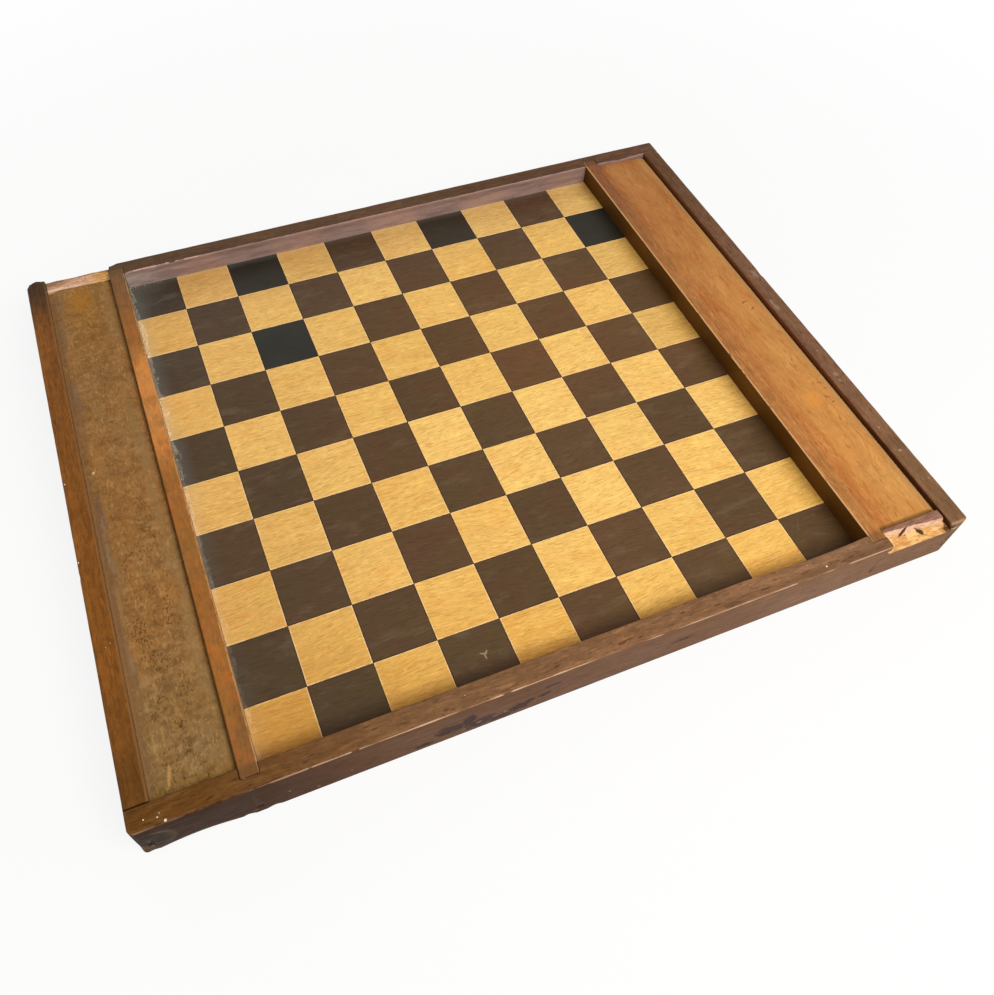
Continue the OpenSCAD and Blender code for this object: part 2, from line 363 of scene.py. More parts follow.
def studio():
    scene = bpy.context.scene
    scene.view_settings.view_transform = "Standard"
    lens = with_settings(bpy.data.cameras.new("camera"), sensor_width=36.0, lens=33.84,
                         shift_x=0.0482, shift_y=-0.0648, clip_start=0.01)
    scene.camera = shown("camera", lens)
    scene.camera.location = (-0.13338, -0.28227, 0.40466)
    scene.camera.rotation_euler = [math.radians(a) for a in (37.197, -1.962, -21.740)]
    lamp("key", (0.24, -0.58, 0.84), (0.03, -0.02, 0.0), 0.7, 10.3, (1.0, 0.96, 0.90))
    lamp("sky", (-0.4, 1.3, 0.8), (0.0, 0.1, 0.0), 1.0, 3.6, (0.90, 0.95, 1.0))

    world = bpy.data.worlds.new("room")
    scene.world = world
    world.use_nodes = True
    t = Nodes(world.node_tree)
    room = t.tree.nodes["Background"]
    t.feed(room.inputs["Color"], (1.0, 0.965, 0.92, 1.0))
    t.feed(room.inputs["Strength"], 0.33)
    white = t.node("ShaderNodeBackground", (1.0, 1.0, 1.0, 1.0))
    pick = t.node("ShaderNodeMixShader", seen_directly(t), room, white)
    t.feed(t.tree.nodes["World Output"].inputs["Surface"], pick)

    data = bpy.data.meshes.new("floor")
    data.from_pydata([(-4, -4, 0), (4, -4, 0), (4, 4, 0), (-4, 4, 0)], [], [(0, 1, 2, 3)])
    floor = shown("floor", data)
    floor.location.z = -0.2 * MM
    paper = bpy.data.materials.new("paper")
    paper.use_nodes = True
    data.materials.append(paper)
    t = Nodes(paper.node_tree)
    matt = t.tree.nodes["Principled BSDF"]
    t.feed(matt.inputs["Base Color"], (0.80, 0.80, 0.80, 1.0))
    t.feed(matt.inputs["Roughness"], 0.9)
    # Beside the board the paper shows a little shadow, and further out it is white. From below it is clear
    far = t.node("ShaderNodeVectorMath", t.node("ShaderNodeTexCoord").outputs["Object"], operation="LENGTH")
    glow = t.node("ShaderNodeMapRange", far.outputs["Value"], 0.25, 0.6, 0.86, 1.0)
    seen = t.node("ShaderNodeMixShader", t.all_of(seen_directly(t), glow), matt, t.node("ShaderNodeEmission"))
    below = t.node("ShaderNodeNewGeometry").outputs["Backfacing"]
    both = t.node("ShaderNodeMixShader", below, seen, t.node("ShaderNodeBsdfTransparent"))
    t.feed(t.tree.nodes["Material Output"].inputs["Surface"], both)


# Geometry Nodes
def growth(name, result, *inputs):
    """A Geometry Nodes tree with named inputs. Each input is its name, its kind and its first value."""
    tree = bpy.data.node_groups.new(name, "GeometryNodeTree")
    for label, kind, value in (("Points", "Geometry", None), *inputs):
        socket = tree.interface.new_socket(label, in_out="INPUT", socket_type="NodeSocket" + kind)
        if value is not None:
            socket.default_value = value
    tree.interface.new_socket(result, in_out="OUTPUT", socket_type="NodeSocketGeometry")
    t = Nodes(tree)
    return t, t.node("NodeGroupInput").outputs


def squares_tree():
    """Lays one eased veneer square on every point. Sizes are in metres."""
    t, given = growth("veneer squares", "Squares", ("Side", "Float", SQUARE - VENEER_JOINT),
                      ("Thickness", "Float", 1 * MM), ("Easing", "Float", EASING),
                      ("Turned over", "Float", 0.0), ("Seed", "Int", 4), ("Veneer", "Material", None))
    side, thick, ease = (given[n] for n in ("Side", "Thickness", "Easing"))
    tile = t.node("GeometryNodeMeshCube", t.node("ShaderNodeCombineXYZ", side, side, t.less(thick, ease)))
    facing = t.node("ShaderNodeSeparateXYZ", t.node("GeometryNodeInputNormal"))
    top = t.math("GREATER_THAN", facing.outputs[2], 0.5)
    raised = t.node("GeometryNodeExtrudeMesh", named={"Mesh": tile, "Selection": top, "Offset Scale": ease})
    narrowed = t.math("DIVIDE", t.less(side, t.all_of(ease, 2.0)), side)
    eased = t.node("GeometryNodeScaleElements", raised, raised.outputs["Top"], narrowed)
    own = t.node("GeometryNodeStoreNamedAttribute", domain="POINT", data_type="FLOAT_VECTOR", named={
        "Geometry": eased, "Name": "own", "Value": t.node("GeometryNodeInputPosition")})

    # Each square lies a hair low and turned, as hand-laid ones do, and never above or outside its place
    def chance(number, low, high):
        feeds = {2: low, 3: high, "Seed": t.add(given["Seed"], number)}
        return t.node("FunctionNodeRandomValue", data_type="FLOAT", named=feeds).outputs[1]

    over = t.all_of(given["Turned over"], math.pi)
    laid = t.node("GeometryNodeInstanceOnPoints", named={
        "Points": given["Points"], "Instance": own,
        "Rotation": t.node("ShaderNodeCombineXYZ", over, 0.0, chance(1, -0.0016, 0.0016)),
        "Scale": chance(2, 0.9955, 0.9985)})
    cut = t.node("GeometryNodeStoreNamedAttribute", domain="INSTANCE", data_type="FLOAT", named={
        "Geometry": laid, "Name": "cut", "Value": chance(3, 0.0, 1.0)})
    real = t.node("GeometryNodeRealizeInstances", cut)
    coated = t.node("GeometryNodeSetMaterial", named={"Geometry": real, "Material": given["Veneer"]})
    t.node("NodeGroupOutput", coated)
    return t.tree


def blobs_tree():
    """Puts a small ragged blob on every point, with the half sizes that the point carries."""
    t, given = growth("ragged blobs", "Blobs", ("Raggedness", "Float", 0.35), ("Fineness", "Int", 2),
                      ("Seed", "Int", 7), ("Stuff", "Material", None))
    ball = t.node("GeometryNodeMeshIcoSphere", 1.0, given["Fineness"])
    halves = [t.node("GeometryNodeInputNamedAttribute", data_type="FLOAT", named={"Name": name})
              for name in ("half_x", "half_y", "half_z")]
    laid = t.node("GeometryNodeInstanceOnPoints", named={
        "Points": given["Points"], "Instance": ball, "Scale": t.node("ShaderNodeCombineXYZ", *halves)})
    real = t.node("GeometryNodeRealizeInstances", laid)
    rough = t.node("ShaderNodeTexNoise", noise_dimensions="4D", named={"Scale": 900.0, "W": given["Seed"]})
    shift = t.node("ShaderNodeVectorMath", rough.outputs["Color"], (0.5, 0.5, 0.5), operation="SUBTRACT")
    size = t.node("ShaderNodeVectorMath", shift, operation="SCALE",
                  named={"Scale": t.all_of(given["Raggedness"], 1 * MM)})
    flat = t.node("ShaderNodeVectorMath", size, (1.0, 1.0, 0.15), operation="MULTIPLY")
    moved = t.node("GeometryNodeSetPosition", named={"Geometry": real, "Offset": flat})
    coated = t.node("GeometryNodeSetMaterial", named={"Geometry": moved, "Material": given["Stuff"]})
    t.node("NodeGroupOutput", coated)
    return t.tree


def grown(name, tree, rows, values, settings, material):
    """Runs a Geometry Nodes tree on points that carry values, and keeps the result as a plain mesh."""
    base = bpy.data.meshes.new(name)
    base.from_pydata(rows, [], [])
    for key, numbers in values.items():
        base.attributes.new(key, "FLOAT", "POINT").data.foreach_set("value", numbers)
    holder = shown(name + "_base", base)
    step = holder.modifiers.new("grow", "NODES")
    step.node_group = tree
    ids = {item.name: item.identifier for item in tree.interface.items_tree if item.in_out == "INPUT"}
    for key, value in settings.items():
        step[ids[key]] = value
    holder.update_tag()
    bpy.context.view_layer.update()
    seen = holder.evaluated_get(bpy.context.evaluated_depsgraph_get())
    data = bpy.data.meshes.new_from_object(seen)
    data.name = name
    bpy.data.objects.remove(holder)
    if not data.materials:
        data.materials.append(material)
    return shown(name, data)


# The chequered squares

# Squares cut from a nearly black sheet, as (column, row) from the near left corner, and how dark each is
INKY = {(2, 7): 1.0, (9, 8): 1.0, (2, 9): 0.9, (6, 9): 0.75, (0, 9): 0.45, (0, 7): 0.2, (9, 6): 0.2}


def lay_squares(tree, name, node, count, odd, seed, material, over=False):
    low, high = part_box(node)
    pitch = (high.x - low.x) / count
    cells = [(i, j) for i in range(count) for j in range(count) if (i + j) % 2 == odd]
    middle = (low.z + high.z) / 2
    rows = [((i + 0.5 - count / 2) * pitch, (j + 0.5 - count / 2) * pitch, middle) for i, j in cells]
    ink = [0.0 if over else INKY.get(cell, 0.0) for cell in cells]
    sizes = {"Side": pitch - VENEER_JOINT, "Thickness": high.z - low.z, "Easing": EASING,
             "Turned over": float(over), "Seed": seed, "Veneer": material}
    piece = grown(name, tree, rows, {"ink": ink}, sizes, material)
    piece.data.transform(Matrix.Translation((0, 0, EASING / 2 if over else -EASING / 2)))
    handed_in(piece, "frame", node)


def own_cut(f):
    """Shifts and tilts the grain by each square's own value, so that no two squares are alike."""
    f.cut = f.own("cut", "Fac")
    shift = f.node("ShaderNodeCombineXYZ", f.all_of(f.cut, 3.7), f.all_of(f.cut, 9.1), 0.0)
    tilt = f.ramp(f.math("FRACT", f.all_of(f.cut, 11.0)), 0.0, 1.0, -0.13, 0.17)
    tilted = f.node("ShaderNodeVectorRotate", f.own("own", "Vector"), named={"Angle": tilt},
                    rotation_type="Z_AXIS")
    return f.node("ShaderNodeVectorMath", tilted, shift, operation="ADD")


def field_only(f):
    return f.ramp(f.z, FIELD_Z - 2 * MM, FIELD_Z - 1 * MM)


def field_wear(f, dust, haze, veil):
    """Painted shade along the front and right walls, a pale haze along the back wall, and dust down the left
    side and in the far left corner. veil is how thick the haze beside the dust is."""
    upper = field_only(f)
    wobble = f.wander(3 * MM, 140)
    # Painted shade: the field is darkened near the front wall and the right divider, where their shadows fall
    to_front = f.add(f.less(-DIV_LOW, f.y), wobble)
    f.dim(f.all_of(f.ramp(to_front, -14 * MM, -1 * MM, 0.0, 0.9), upper), 0.56, 0.44, 0.28)
    to_right = f.add(f.less(f.x, DIV_LOW), wobble)
    f.dim(f.all_of(f.ramp(to_right, -15 * MM, 0.0, 0.0, 0.75), upper), 0.64, 0.60, 0.47)
    to_back = f.add(f.less(f.y, DIV_LOW), wobble)
    f.lay(f.all_of(f.ramp(to_back, -5 * MM, 0.5 * MM, 0.0, 0.4), upper), haze)

    # The haze fades out from the left wall, and the dust next to it has a ragged edge
    from_left = f.add(f.x, DIV_LOW)
    far_part = f.all_of(f.ramp(f.y, -0.09, 0.03, 0.25, 1.0), upper)
    f.lay(f.all_of(f.ramp(f.add(from_left, wobble), 10 * MM, 0.5 * MM, 0.0, veil), far_part), haze)
    cloth = f.noise((330, 120, 330), (4, 4, 0), 4.0, 0.72)
    fuzz = f.all_of(f.less(cloth, 0.5), 11 * MM)
    wide = f.all_of(f.between(f.y, 88 * MM, 118 * MM, 12 * MM), 1.2 * MM)
    edge = f.less(f.add(from_left, fuzz), wide)
    dusty = f.all_of(f.ramp(edge, 2.2 * MM, 0.4 * MM), far_part)
    f.lay(dusty, dust, 0.75)
    f.lay(f.all_of(dusty, f.ramp(cloth, 0.46, 0.36, 0.0, 0.8)), [min(1.0, c * 1.25) for c in linear(dust)])
    corner = f.add(f.add(f.all_of(f.x, -1.0), f.y), f.all_of(cloth, 0.02))
    f.lay(f.all_of(f.ramp(corner, 0.266, 0.302, 0.0, 0.6), upper), haze)


def square_edge(f, inset, width, colour, amount):
    """A line round each square, inset from its joints, in millimetres."""
    across, along = f.node("ShaderNodeSeparateXYZ", f.own("own", "Vector")).outputs[:2]
    half = f.ramp(f.z, RIM_H / 2 - 1 * MM, RIM_H / 2 + 1 * MM, CHESS_SQUARE / 2, SQUARE / 2)
    gap = f.less(f.any_of(f.size_of(across), f.size_of(along)), half)
    line = f.ramp(gap, -(inset + width) * MM, -inset * MM)
    f.lay(f.all_of(line, f.ramp(f.noise(200, (2, 6, 1)), 0.35, 0.55, 0.2 * amount, amount)), colour)


def light_veneer():
    f = wood("golden_veneer", 0, shades((235, 191, 109), 0.10), 2.0, bands=0.6, lines=0.55,
             line_size=(7.0, 0.55), glints=0.35, pores=0.25, pore_size=(2.6, 0.4), bend=0.35, wave=0.35,
             blotch=0.2, rough=(0.36, 0.5), place=own_cut, line_tone=(0.82, 0.70, 0.52))
    patch = f.noise((60, 120, 120), (5, 2, 9), rough=0.6)
    f.dim(f.ramp(patch, 0.52, 0.66, 0.0, 0.8), 0.99, 0.91, 0.82)
    f.dim(f.ramp(patch, 0.46, 0.34, 0.0, 0.8), 1.04, 1.08, 1.02)
    f.dim(f.ramp(f.cut, 0.1, 0.9, 0.0, 0.7), 0.95, 0.90, 0.80)
    second = f.math("FRACT", f.all_of(f.cut, 7.3))
    f.dim(f.ramp(second, 0.2, 1.0, 0.0, 0.8), 1.06, 1.08, 1.12)
    upper = field_only(f)
    # Painted light: darker towards the far rows, the near rows and the left, where less light falls; the near
    # rows are browner with patina as well
    f.dim(f.all_of(f.ramp(f.y, 0.095, 0.145), upper), 0.84, 0.82, 0.94)
    f.dim(f.all_of(f.ramp(f.y, -0.080, -0.140), f.ramp(f.x, 0.12, -0.14, 0.45, 1.0), upper), 0.88, 0.80, 0.60)
    f.dim(f.all_of(f.ramp(f.x, 0.02, -0.14), upper), 0.92, 0.88, 0.86)
    f.dim(f.all_of(f.ramp(f.x, -0.05, -0.13), f.ramp(f.y, 0.03, -0.12), upper), 0.84, 0.82, 0.80)
    # Painted shade on the squares beside the right divider
    right_wall_shade = f.all_of(f.ramp(f.x, 0.119, 0.122), f.between(f.y, 0.0, 0.09, 1 * MM), upper)
    f.dim(right_wall_shade, 0.86, 0.84, 0.82)
    flecks(f, 0.40, (160, 108, 46), 0.9, 0.65, 4.0, along=0, stretch=4.0)
    flecks(f, 0.42, (186, 132, 56), 1.0, 0.60, 6.0, along=0, stretch=7.0)
    flecks(f, 0.4, (250, 222, 160), 1.5, 0.70, 8.0, along=0, stretch=3.0)
    square_edge(f, 0.25, 0.5, (246, 214, 164), 0.65)
    field_wear(f, (232, 206, 164), (214, 188, 138), 0.45)
    return f.done(bump=0.05 * MM)


def dark_veneer():
    f = wood("chocolate_veneer", 0, shades((90, 67, 43), 0.12), 6.0, bands=0.3, lines=0.45,
             line_size=(9.0, 0.8), glints=0.15, mottle=0.35, pores=0.3, pore_size=(6.0, 0.5), bend=0.7,
             wave=0.5, rough=(0.38, 0.52), place=own_cut)
    patch = f.noise((60, 75, 75), (5, 7, 9))
    f.dim(f.ramp(patch, 0.50, 0.66, 0.0, 0.8), 1.05, 0.93, 0.99)
    f.dim(f.ramp(patch, 0.48, 0.32, 0.0, 0.8), 0.98, 1.05, 0.83)
    f.dim(f.ramp(f.cut, 0.1, 0.9, 0.0, 0.6), 1.10, 0.98, 0.94)
    second = f.math("FRACT", f.all_of(f.cut, 5.7))
    f.dim(f.ramp(second, 0.1, 0.9, 0.0, 0.9), 0.86, 0.90, 0.88)
    upper = field_only(f)
    # Painted light: darker towards the left and the far rows, where less light falls
    f.dim(f.all_of(f.ramp(f.x, 0.03, -0.13), upper), 0.76, 0.82, 0.90)
    f.dim(f.all_of(f.ramp(f.y, 0.08, 0.14), upper), 0.88, 0.84, 0.98)
    f.lay(f.ramp(f.noise((45, 130, 130), (3, 8, 2), 4.0, 0.7), 0.52, 0.70, 0.0, 0.32), (112, 94, 70))
    # Painted light: lighter in the right middle, where the light falls strongest
    f.dim(f.all_of(f.ramp(f.x, -0.04, 0.05), f.between(f.y, -0.01, 0.08, 30 * MM), upper), 1.20, 1.12, 1.00)
    scratch = f.noise((160, 1900, 1900), (0, 1, 4), 2.0, turn=12)
    f.lay(f.ramp(scratch, 0.67, 0.73, 0.0, 0.3), (132, 108, 78))
    f.lay(f.ramp(f.noise((90, 1500, 1500), (6, 1, 4), 2.0), 0.66, 0.74, 0.0, 0.2), (88, 50, 32))
    f.lay(f.all_of(f.own("ink", "Fac"), 0.9), f.mix(f.ramp(f.slow, 0.4, 0.62), (28, 31, 27), (37, 40, 34)))
    f.mark(level_spots(18, 1.5, (-43.8, -133.0, 1.3, 0.34, -32), (-41.9, -132.9, 1.1, 0.42, 52),
                       (-42.9, -134.7, 0.42, 1.2, 6), (-42.7, -133.4, 0.7, 0.6, 0)),
           0.8, (158, 136, 100), ragged=0.6, grit=0.6)
    f.mark(level_spots(18, 1.5, (-127, 133, 4, 2.2, 12), (-133, 131, 4, 0.5, 25), (127, -127, 3.0, 0.3, 60),
                       (134, -134, 3.4, 0.3, -20), (138, -124, 0.7, 0.5, 0)),
           0.22, (120, 116, 96), ragged=1.0, soft=0.5)
    square_edge(f, 0.15, 0.45, (56, 38, 22), 0.7)
    field_wear(f, (140, 136, 126), (98, 98, 92), 0.6)
    return f.done(bump=0.05 * MM, specular=0.14)


# Rails with rubbed and chipped edges
def rubbed_rail(node, along, material, chips, rub=0.13, step=3.5):
    """A copy of a rail whose outer edges are rubbed a little unevenly. A chip is (centre, half sizes, move,
    how ragged), in millimetres."""
    low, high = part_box(node)
    across = 1 - along
    mesh = bmesh.new()
    mesh.from_mesh(nodes[node].data)
    bmesh.ops.remove_doubles(mesh, verts=mesh.verts, dist=1e-6)

    def slice_at(axis, place):
        point, normal = Vector(), Vector()
        point[axis] = place
        normal[axis] = 1
        bmesh.ops.bisect_plane(mesh, geom=mesh.verts[:] + mesh.edges[:] + mesh.faces[:], dist=1e-7,
                               plane_co=point, plane_no=normal)

    side = 1 if high[across] > 0 else -1
    inner, outer = sorted((abs(low[across]), abs(high[across])))
    for k in (1.8, 3.6, 5.6):
        slice_at(2, k * MM)
        slice_at(2, RIM_H - k * MM)
        slice_at(across, side * (outer - k * MM))
    slice_at(across, side * (inner + 1.6 * MM))
    rng = random.Random(sum(map(ord, node)))
    cuts = [(centre[along] + k * 0.3 * min(half[along], 6)) * MM
            for centre, half, *_ in chips for k in range(-3, 4)]
    place = low[along] + 0.8 * MM
    while place < high[along]:
        cuts.append(place)
        near_end = min(place - low[along], high[along] - place) < 7 * MM
        place += (0.9 if near_end else step * rng.uniform(0.7, 1.3)) * MM
    for place in cuts:
        if low[along] + 0.3 * MM < place < high[along] - 0.3 * MM:
            slice_at(along, place)

    for v in mesh.verts:
        p = v.co.copy()
        gap = (HALF_L - abs(p.x), HALF_W - abs(p.y), min(p.z, RIM_H - p.z))
        inward = (-math.copysign(1, p.x), -math.copysign(1, p.y), 1 if p.z < RIM_H / 2 else -1)
        wave = 0.45 + 0.9 * noise.noise(p * 40) + 0.6 * noise.noise(p * 150 + Vector((3, 1, 7)))
        depth = rub * MM * max(0.0, wave) * (1.0 if p.z > RIM_H / 2 else 0.4)
        move = Vector()
        for a in (0, 1):
            d = (gap[a] + gap[2]) / (3.0 * MM)
            if d < 1:
                move[a] += inward[a] * depth * (1 - d)
                move.z += inward[2] * depth * (1 - d)
        for centre, half, push, ragged in chips:
            d = Vector([(a / MM - c) / h for a, c, h in zip(p, centre, half)]).length
            if d < 1:
                uneven = 1 + ragged * (1.2 * noise.noise(p * 350) - 0.1)
                move += Vector(push) * MM * (1 - d * d) ** 1.5 * uneven
        if p.z > RIM_H - 0.05 * MM:
            move.z -= (0.05 + 0.05 * noise.noise(p * 30)) * MM
        v.co = p + move
    handed_in(solid(node + "_rubbed", mesh, material, 38), "frame", node)


# What is left of the battens
def strip(name, rows, material):
    """A closed strip from equal rows of points: each row is a section, and the two end rows are capped."""
    mesh = bmesh.new()
    rings = [[mesh.verts.new(p) for p in row] for row in rows]
    for one, two in zip(rings, rings[1:]):
        for corners in zip(one, one[1:] + one[:1], two[1:] + two[:1], two):
            mesh.faces.new(corners)
    caps = [mesh.faces.new(rings[0][::-1]), mesh.faces.new(rings[-1])]
    mesh.normal_update()
    bmesh.ops.triangulate(mesh, faces=caps)
    bmesh.ops.recalc_face_normals(mesh, faces=mesh.faces)
    return solid(name, mesh, material, 40)


def bumps(x, y, z):
    return noise.noise(Vector((x, y, z)))


def fibre(x, y, z=0.0):
    """Torn fibres: ledges that run a long way in x and step quickly in y, from -1 to 1."""
    return max(-1.0, min(1.0, 1.5 * bumps(x * 70, y * 900, z) + 0.8 * bumps(x * 260, y * 2600, z + 9)))


# Splits in the torn face of the right lid's batten: two ends and a depth, in millimetres
GOUGES = (((164.0, -152.2), (169.0, -150.2), 0.7), ((173.0, -151.6), (178.4, -154.5), 0.6))


def gouged(x, y):
    """How deep the splits are at a place, in metres."""
    found = 0.0
    for start, end, deep in GOUGES:
        a, b, q = Vector(start) * MM, Vector(end) * MM, Vector((x, y + found))
        s = max(0.0, min(1.0, (q - a).dot(b - a) / (b - a).length_squared))
        d = (q - a - (b - a) * s).length / (0.75 * MM)
        if d < 1:
            found += deep * MM * (1 - d * d)
    return found


def right_lip(material, sections=150, tops=5, downs=22):
    """The right lid's batten broke off and left a narrow lip with a torn face in front of it."""
    low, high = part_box("right_lid_batten")
    last_x = high.x - 1.3 * MM
    back = -RAIL_Y - 0.02 * MM
    rows = []
    for r in range(sections):
        t = r / (sections - 1)
        x = low.x + t * (last_x - low.x)
        lip = (1.7 + 3.1 * t + 0.35 * bumps(x * 160, 0, 0) + 0.15 * bumps(x * 700, 3, 0)) * MM
        top = high.z - (0.10 + 0.10 * bumps(x * 90, 5, 1)) * MM
        curl = 0.25 * MM * (1 - t)
        row = [(x, back, low.z), (x, back, top - 0.5 * MM), (x, back - 0.25 * MM, top - 0.12 * MM)]
        for k in range(1, tops + 1):
            share = k / (tops + 0.5)
            row.append((x, back - lip * share, top - curl * share ** 2 + 0.03 * MM * fibre(x, k)))
        face_top = top - curl - 0.25 * MM
        for k in range(downs):
            down = (k + 0.4) / (downs - 0.6)
            z = face_top - down * (face_top - low.z - 0.02 * MM)
            y = back - lip - (high.z - z) * TORN_LEAN * (0.75 + 0.35 * down)
            y -= 0.42 * MM * fibre(x, z) * min(1.0, 4 * down + 0.3)
            row.append((x, min(y + gouged(x, y), back - 0.4 * MM), z))
        row.append((x, row[-1][1], low.z))
        rows.append(row)
    handed_in(strip("torn_lip", rows, material), "right_lid", "right_lid_batten")


def left_stub(material, sections=110, points=40):
    """The left lid's batten split off along its grain and left a thin, ridged layer."""
    low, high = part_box("left_lid_batten")
    rows = []
    for r in range(sections):
        t = r / (sections - 1)
        x = high.x - t * (high.x - low.x)
        row = [(x, low.y, low.z)]
        for k in range(points):
            s = k / (points - 1)
            y = low.y + s * (high.y - low.y)
            hump = max(0.0, math.sin(math.pi * min(1.0, 0.08 + s * 1.15))) ** 0.6
            rise = (0.5 + 0.75 * t + 0.5 * bumps(x * 60, 1, 4)) * hump + 0.2
            rise += 0.25 * fibre(x, y, 5.0) + 0.15 * bumps(x * 300, y * 300, 2)
            row.append((x, y, min(high.z, low.z + max(0.12, rise) * MM)))
        row.append((x, high.y, low.z))
        rows.append(row)
    handed_in(strip("torn_stub", rows, material), "left_lid", "left_lid_batten")


# Specks, dust and nail stopping
def blobs(tree, name, rows, material, ragged=0.35, fine=2, seed=7):
    """Blobs on the frame. rows are (x, y, z, half x, half y, half z), in millimetres."""
    columns = [[n * MM for n in column] for column in zip(*rows)]
    halves = dict(zip(("half_x", "half_y", "half_z"), columns[3:]))
    settings = {"Raggedness": ragged, "Fineness": fine, "Seed": seed, "Stuff": material}
    handed_in(grown(name, tree, list(zip(*columns[:3])), halves, settings, material), "frame")


def dust_rows(crumbs=420, back_crumbs=24, field=18):
    """Crumbs of old glue and dust in the angle between the field and the left divider, and a few along the
    back rail. field is the height of the squares, in millimetres."""
    rng = random.Random(21)
    rows = []
    for _ in range(crumbs):
        y = 147 - 165 * rng.random() ** 1.4
        on_light = (int((y + 150) // 30)) % 2 == 0
        if rng.random() > (0.9 if on_light else 0.35):
            continue
        far = abs(rng.gauss(0, 0.8))
        size = rng.uniform(0.10, 0.30) * (1.2 - 0.2 * min(far, 3))
        rows.append((-147.3 + far, y, field + size * 0.3, size, size * rng.uniform(0.7, 1.6), size * 0.5))
    for _ in range(back_crumbs):
        x = -147 + 26 * rng.random() ** 2
        size = rng.uniform(0.10, 0.22)
        rows.append((x, 147.2 - abs(rng.gauss(0, 0.6)), field + size * 0.3, size * 1.2, size, size * 0.5))
    return rows


# Drips of white paint on the rims, with their half widths, in millimetres
PAINT_DRIPS = (
    (-193.1, -153.5, 0.55), (-188.0, -154.4, 0.5), (-187.0, -153.2, 0.35), (-185.3, -156.6, 0.8),
    (119.0, -154.8, 0.6), (-194.6, -78.2, 0.5), (-192.6, -76.8, 0.4), (-199.2, -33.0, 0.5),
    (-198.8, 12.0, 0.45), (-154.0, -152.1, 0.3), (-60.5, -152.0, 0.3), (80.0, -150.4, 0.35),
    (110.5, -151.2, 0.3), (192.4, 60.5, 0.3),
)


# Finishes of the pieces
def level_spots(z, deep, *rows):
    """Spots on a level face, from their x, y, half lengths along x and y, and turn."""
    return [((x, y, z), (long, wide, deep), turn) for x, y, long, wide, turn in rows]


def front_spots(deep, *rows):
    """Spots on the front rail's outer face, from their x, z and half lengths along x and z."""
    return [((x, -HALF_W / MM, z), (long, deep, high), 0) for x, z, long, high in rows]


def brad_slots(f):
    """The slots that the right lid's brads tore in its batten, in the lid and in the rail."""
    f.mark((((166.4, -151.2, 27.2), (2.8, 0.6, 6), 25), ((175.8, -153.1, 26), (3.4, 0.6, 9), -28)),
           0.95, (46, 30, 18), ragged=0.2)


def rail_wood(name, along, middle, seed, spread=0.26, **extra):
    """The rails' stained and waxed wood, with grime and small dark pits over its grain."""
    usual = {"lines": 0.45, "glints": 0.35, "mottle": 0.5, "wave": 0.6, "blotch": 0.5, "rough": (0.45, 0.62)}
    f = wood(name, along, shades(middle, spread), seed, **(usual | extra))
    deep = times(middle, 0.4)
    grime(f, 0.35, deep, size=14, seed=seed)
    flecks(f, 0.6, deep, 1.1, 0.68, seed, along=along, stretch=2.5)
    return f


def seam(f, value, at, width, *limits):
    """A dark joint line where a coordinate is at a place. Limits are (value, low, high), in millimetres."""
    soft = 0.15 * MM
    parts = [f.between(other, low * MM, high * MM, soft) for other, low, high in limits]
    f.lay(f.all_of(f.near(value, at * MM, width * MM), *parts), (30, 18, 9), 0.85)


def joints(f, side, butt_width, butt):
    """The seams on a long rail: its butt joint with a side rail, and the housings of both dividers."""
    rail, housing = (side * y / MM for y in (RAIL_Y, HOUSED_Y))
    seam(f, f.y, rail, butt_width, (f.x, *butt), (f.z, -1, 31))
    for x in (-DIV_HIGH, -DIV_LOW, DIV_LOW, DIV_HIGH):
        seam(f, f.x, x / MM, 0.25, (f.y, *sorted((rail - side * 0.2, housing + side * 0.1))))
    for low, high in ((-DIV_HIGH, -DIV_LOW), (DIV_LOW, DIV_HIGH)):
        seam(f, f.y, housing, 0.3, (f.x, low / MM, high / MM))


def raw_notch(f, start, colour, other):
    """Raw wood on the cut-down end of a long rail, where a lid and its batten have torn it. start is the x
    where the notch begins."""
    way = math.copysign(MM, start)
    along_x = f.ramp(f.x, start + way * 0.05, start + way * 0.3)
    level = f.all_of(f.ramp(f.z, NOTCH_Z - 0.5 * MM, NOTCH_Z - 0.2 * MM),
                     f.ramp(f.z, RIM_H - 3.0 * MM, RIM_H - 4.0 * MM))
    torn = f.noise((160, 420, 260), (1, 1, 5), 4.0, 0.7)
    floor = f.all_of(along_x, level)
    f.lay(floor, f.mix(f.ramp(torn, 0.40, 0.60), colour, other))
    f.lay(f.all_of(floor, f.ramp(torn, 0.60, 0.68, 0.0, 0.55)), (150, 96, 44))
    far_end = f.ramp(f.size_of(f.x), SIDE_X - 0.7 * MM, SIDE_X - 0.1 * MM)
    f.lay(f.all_of(floor, far_end), (60, 36, 16), 0.75)


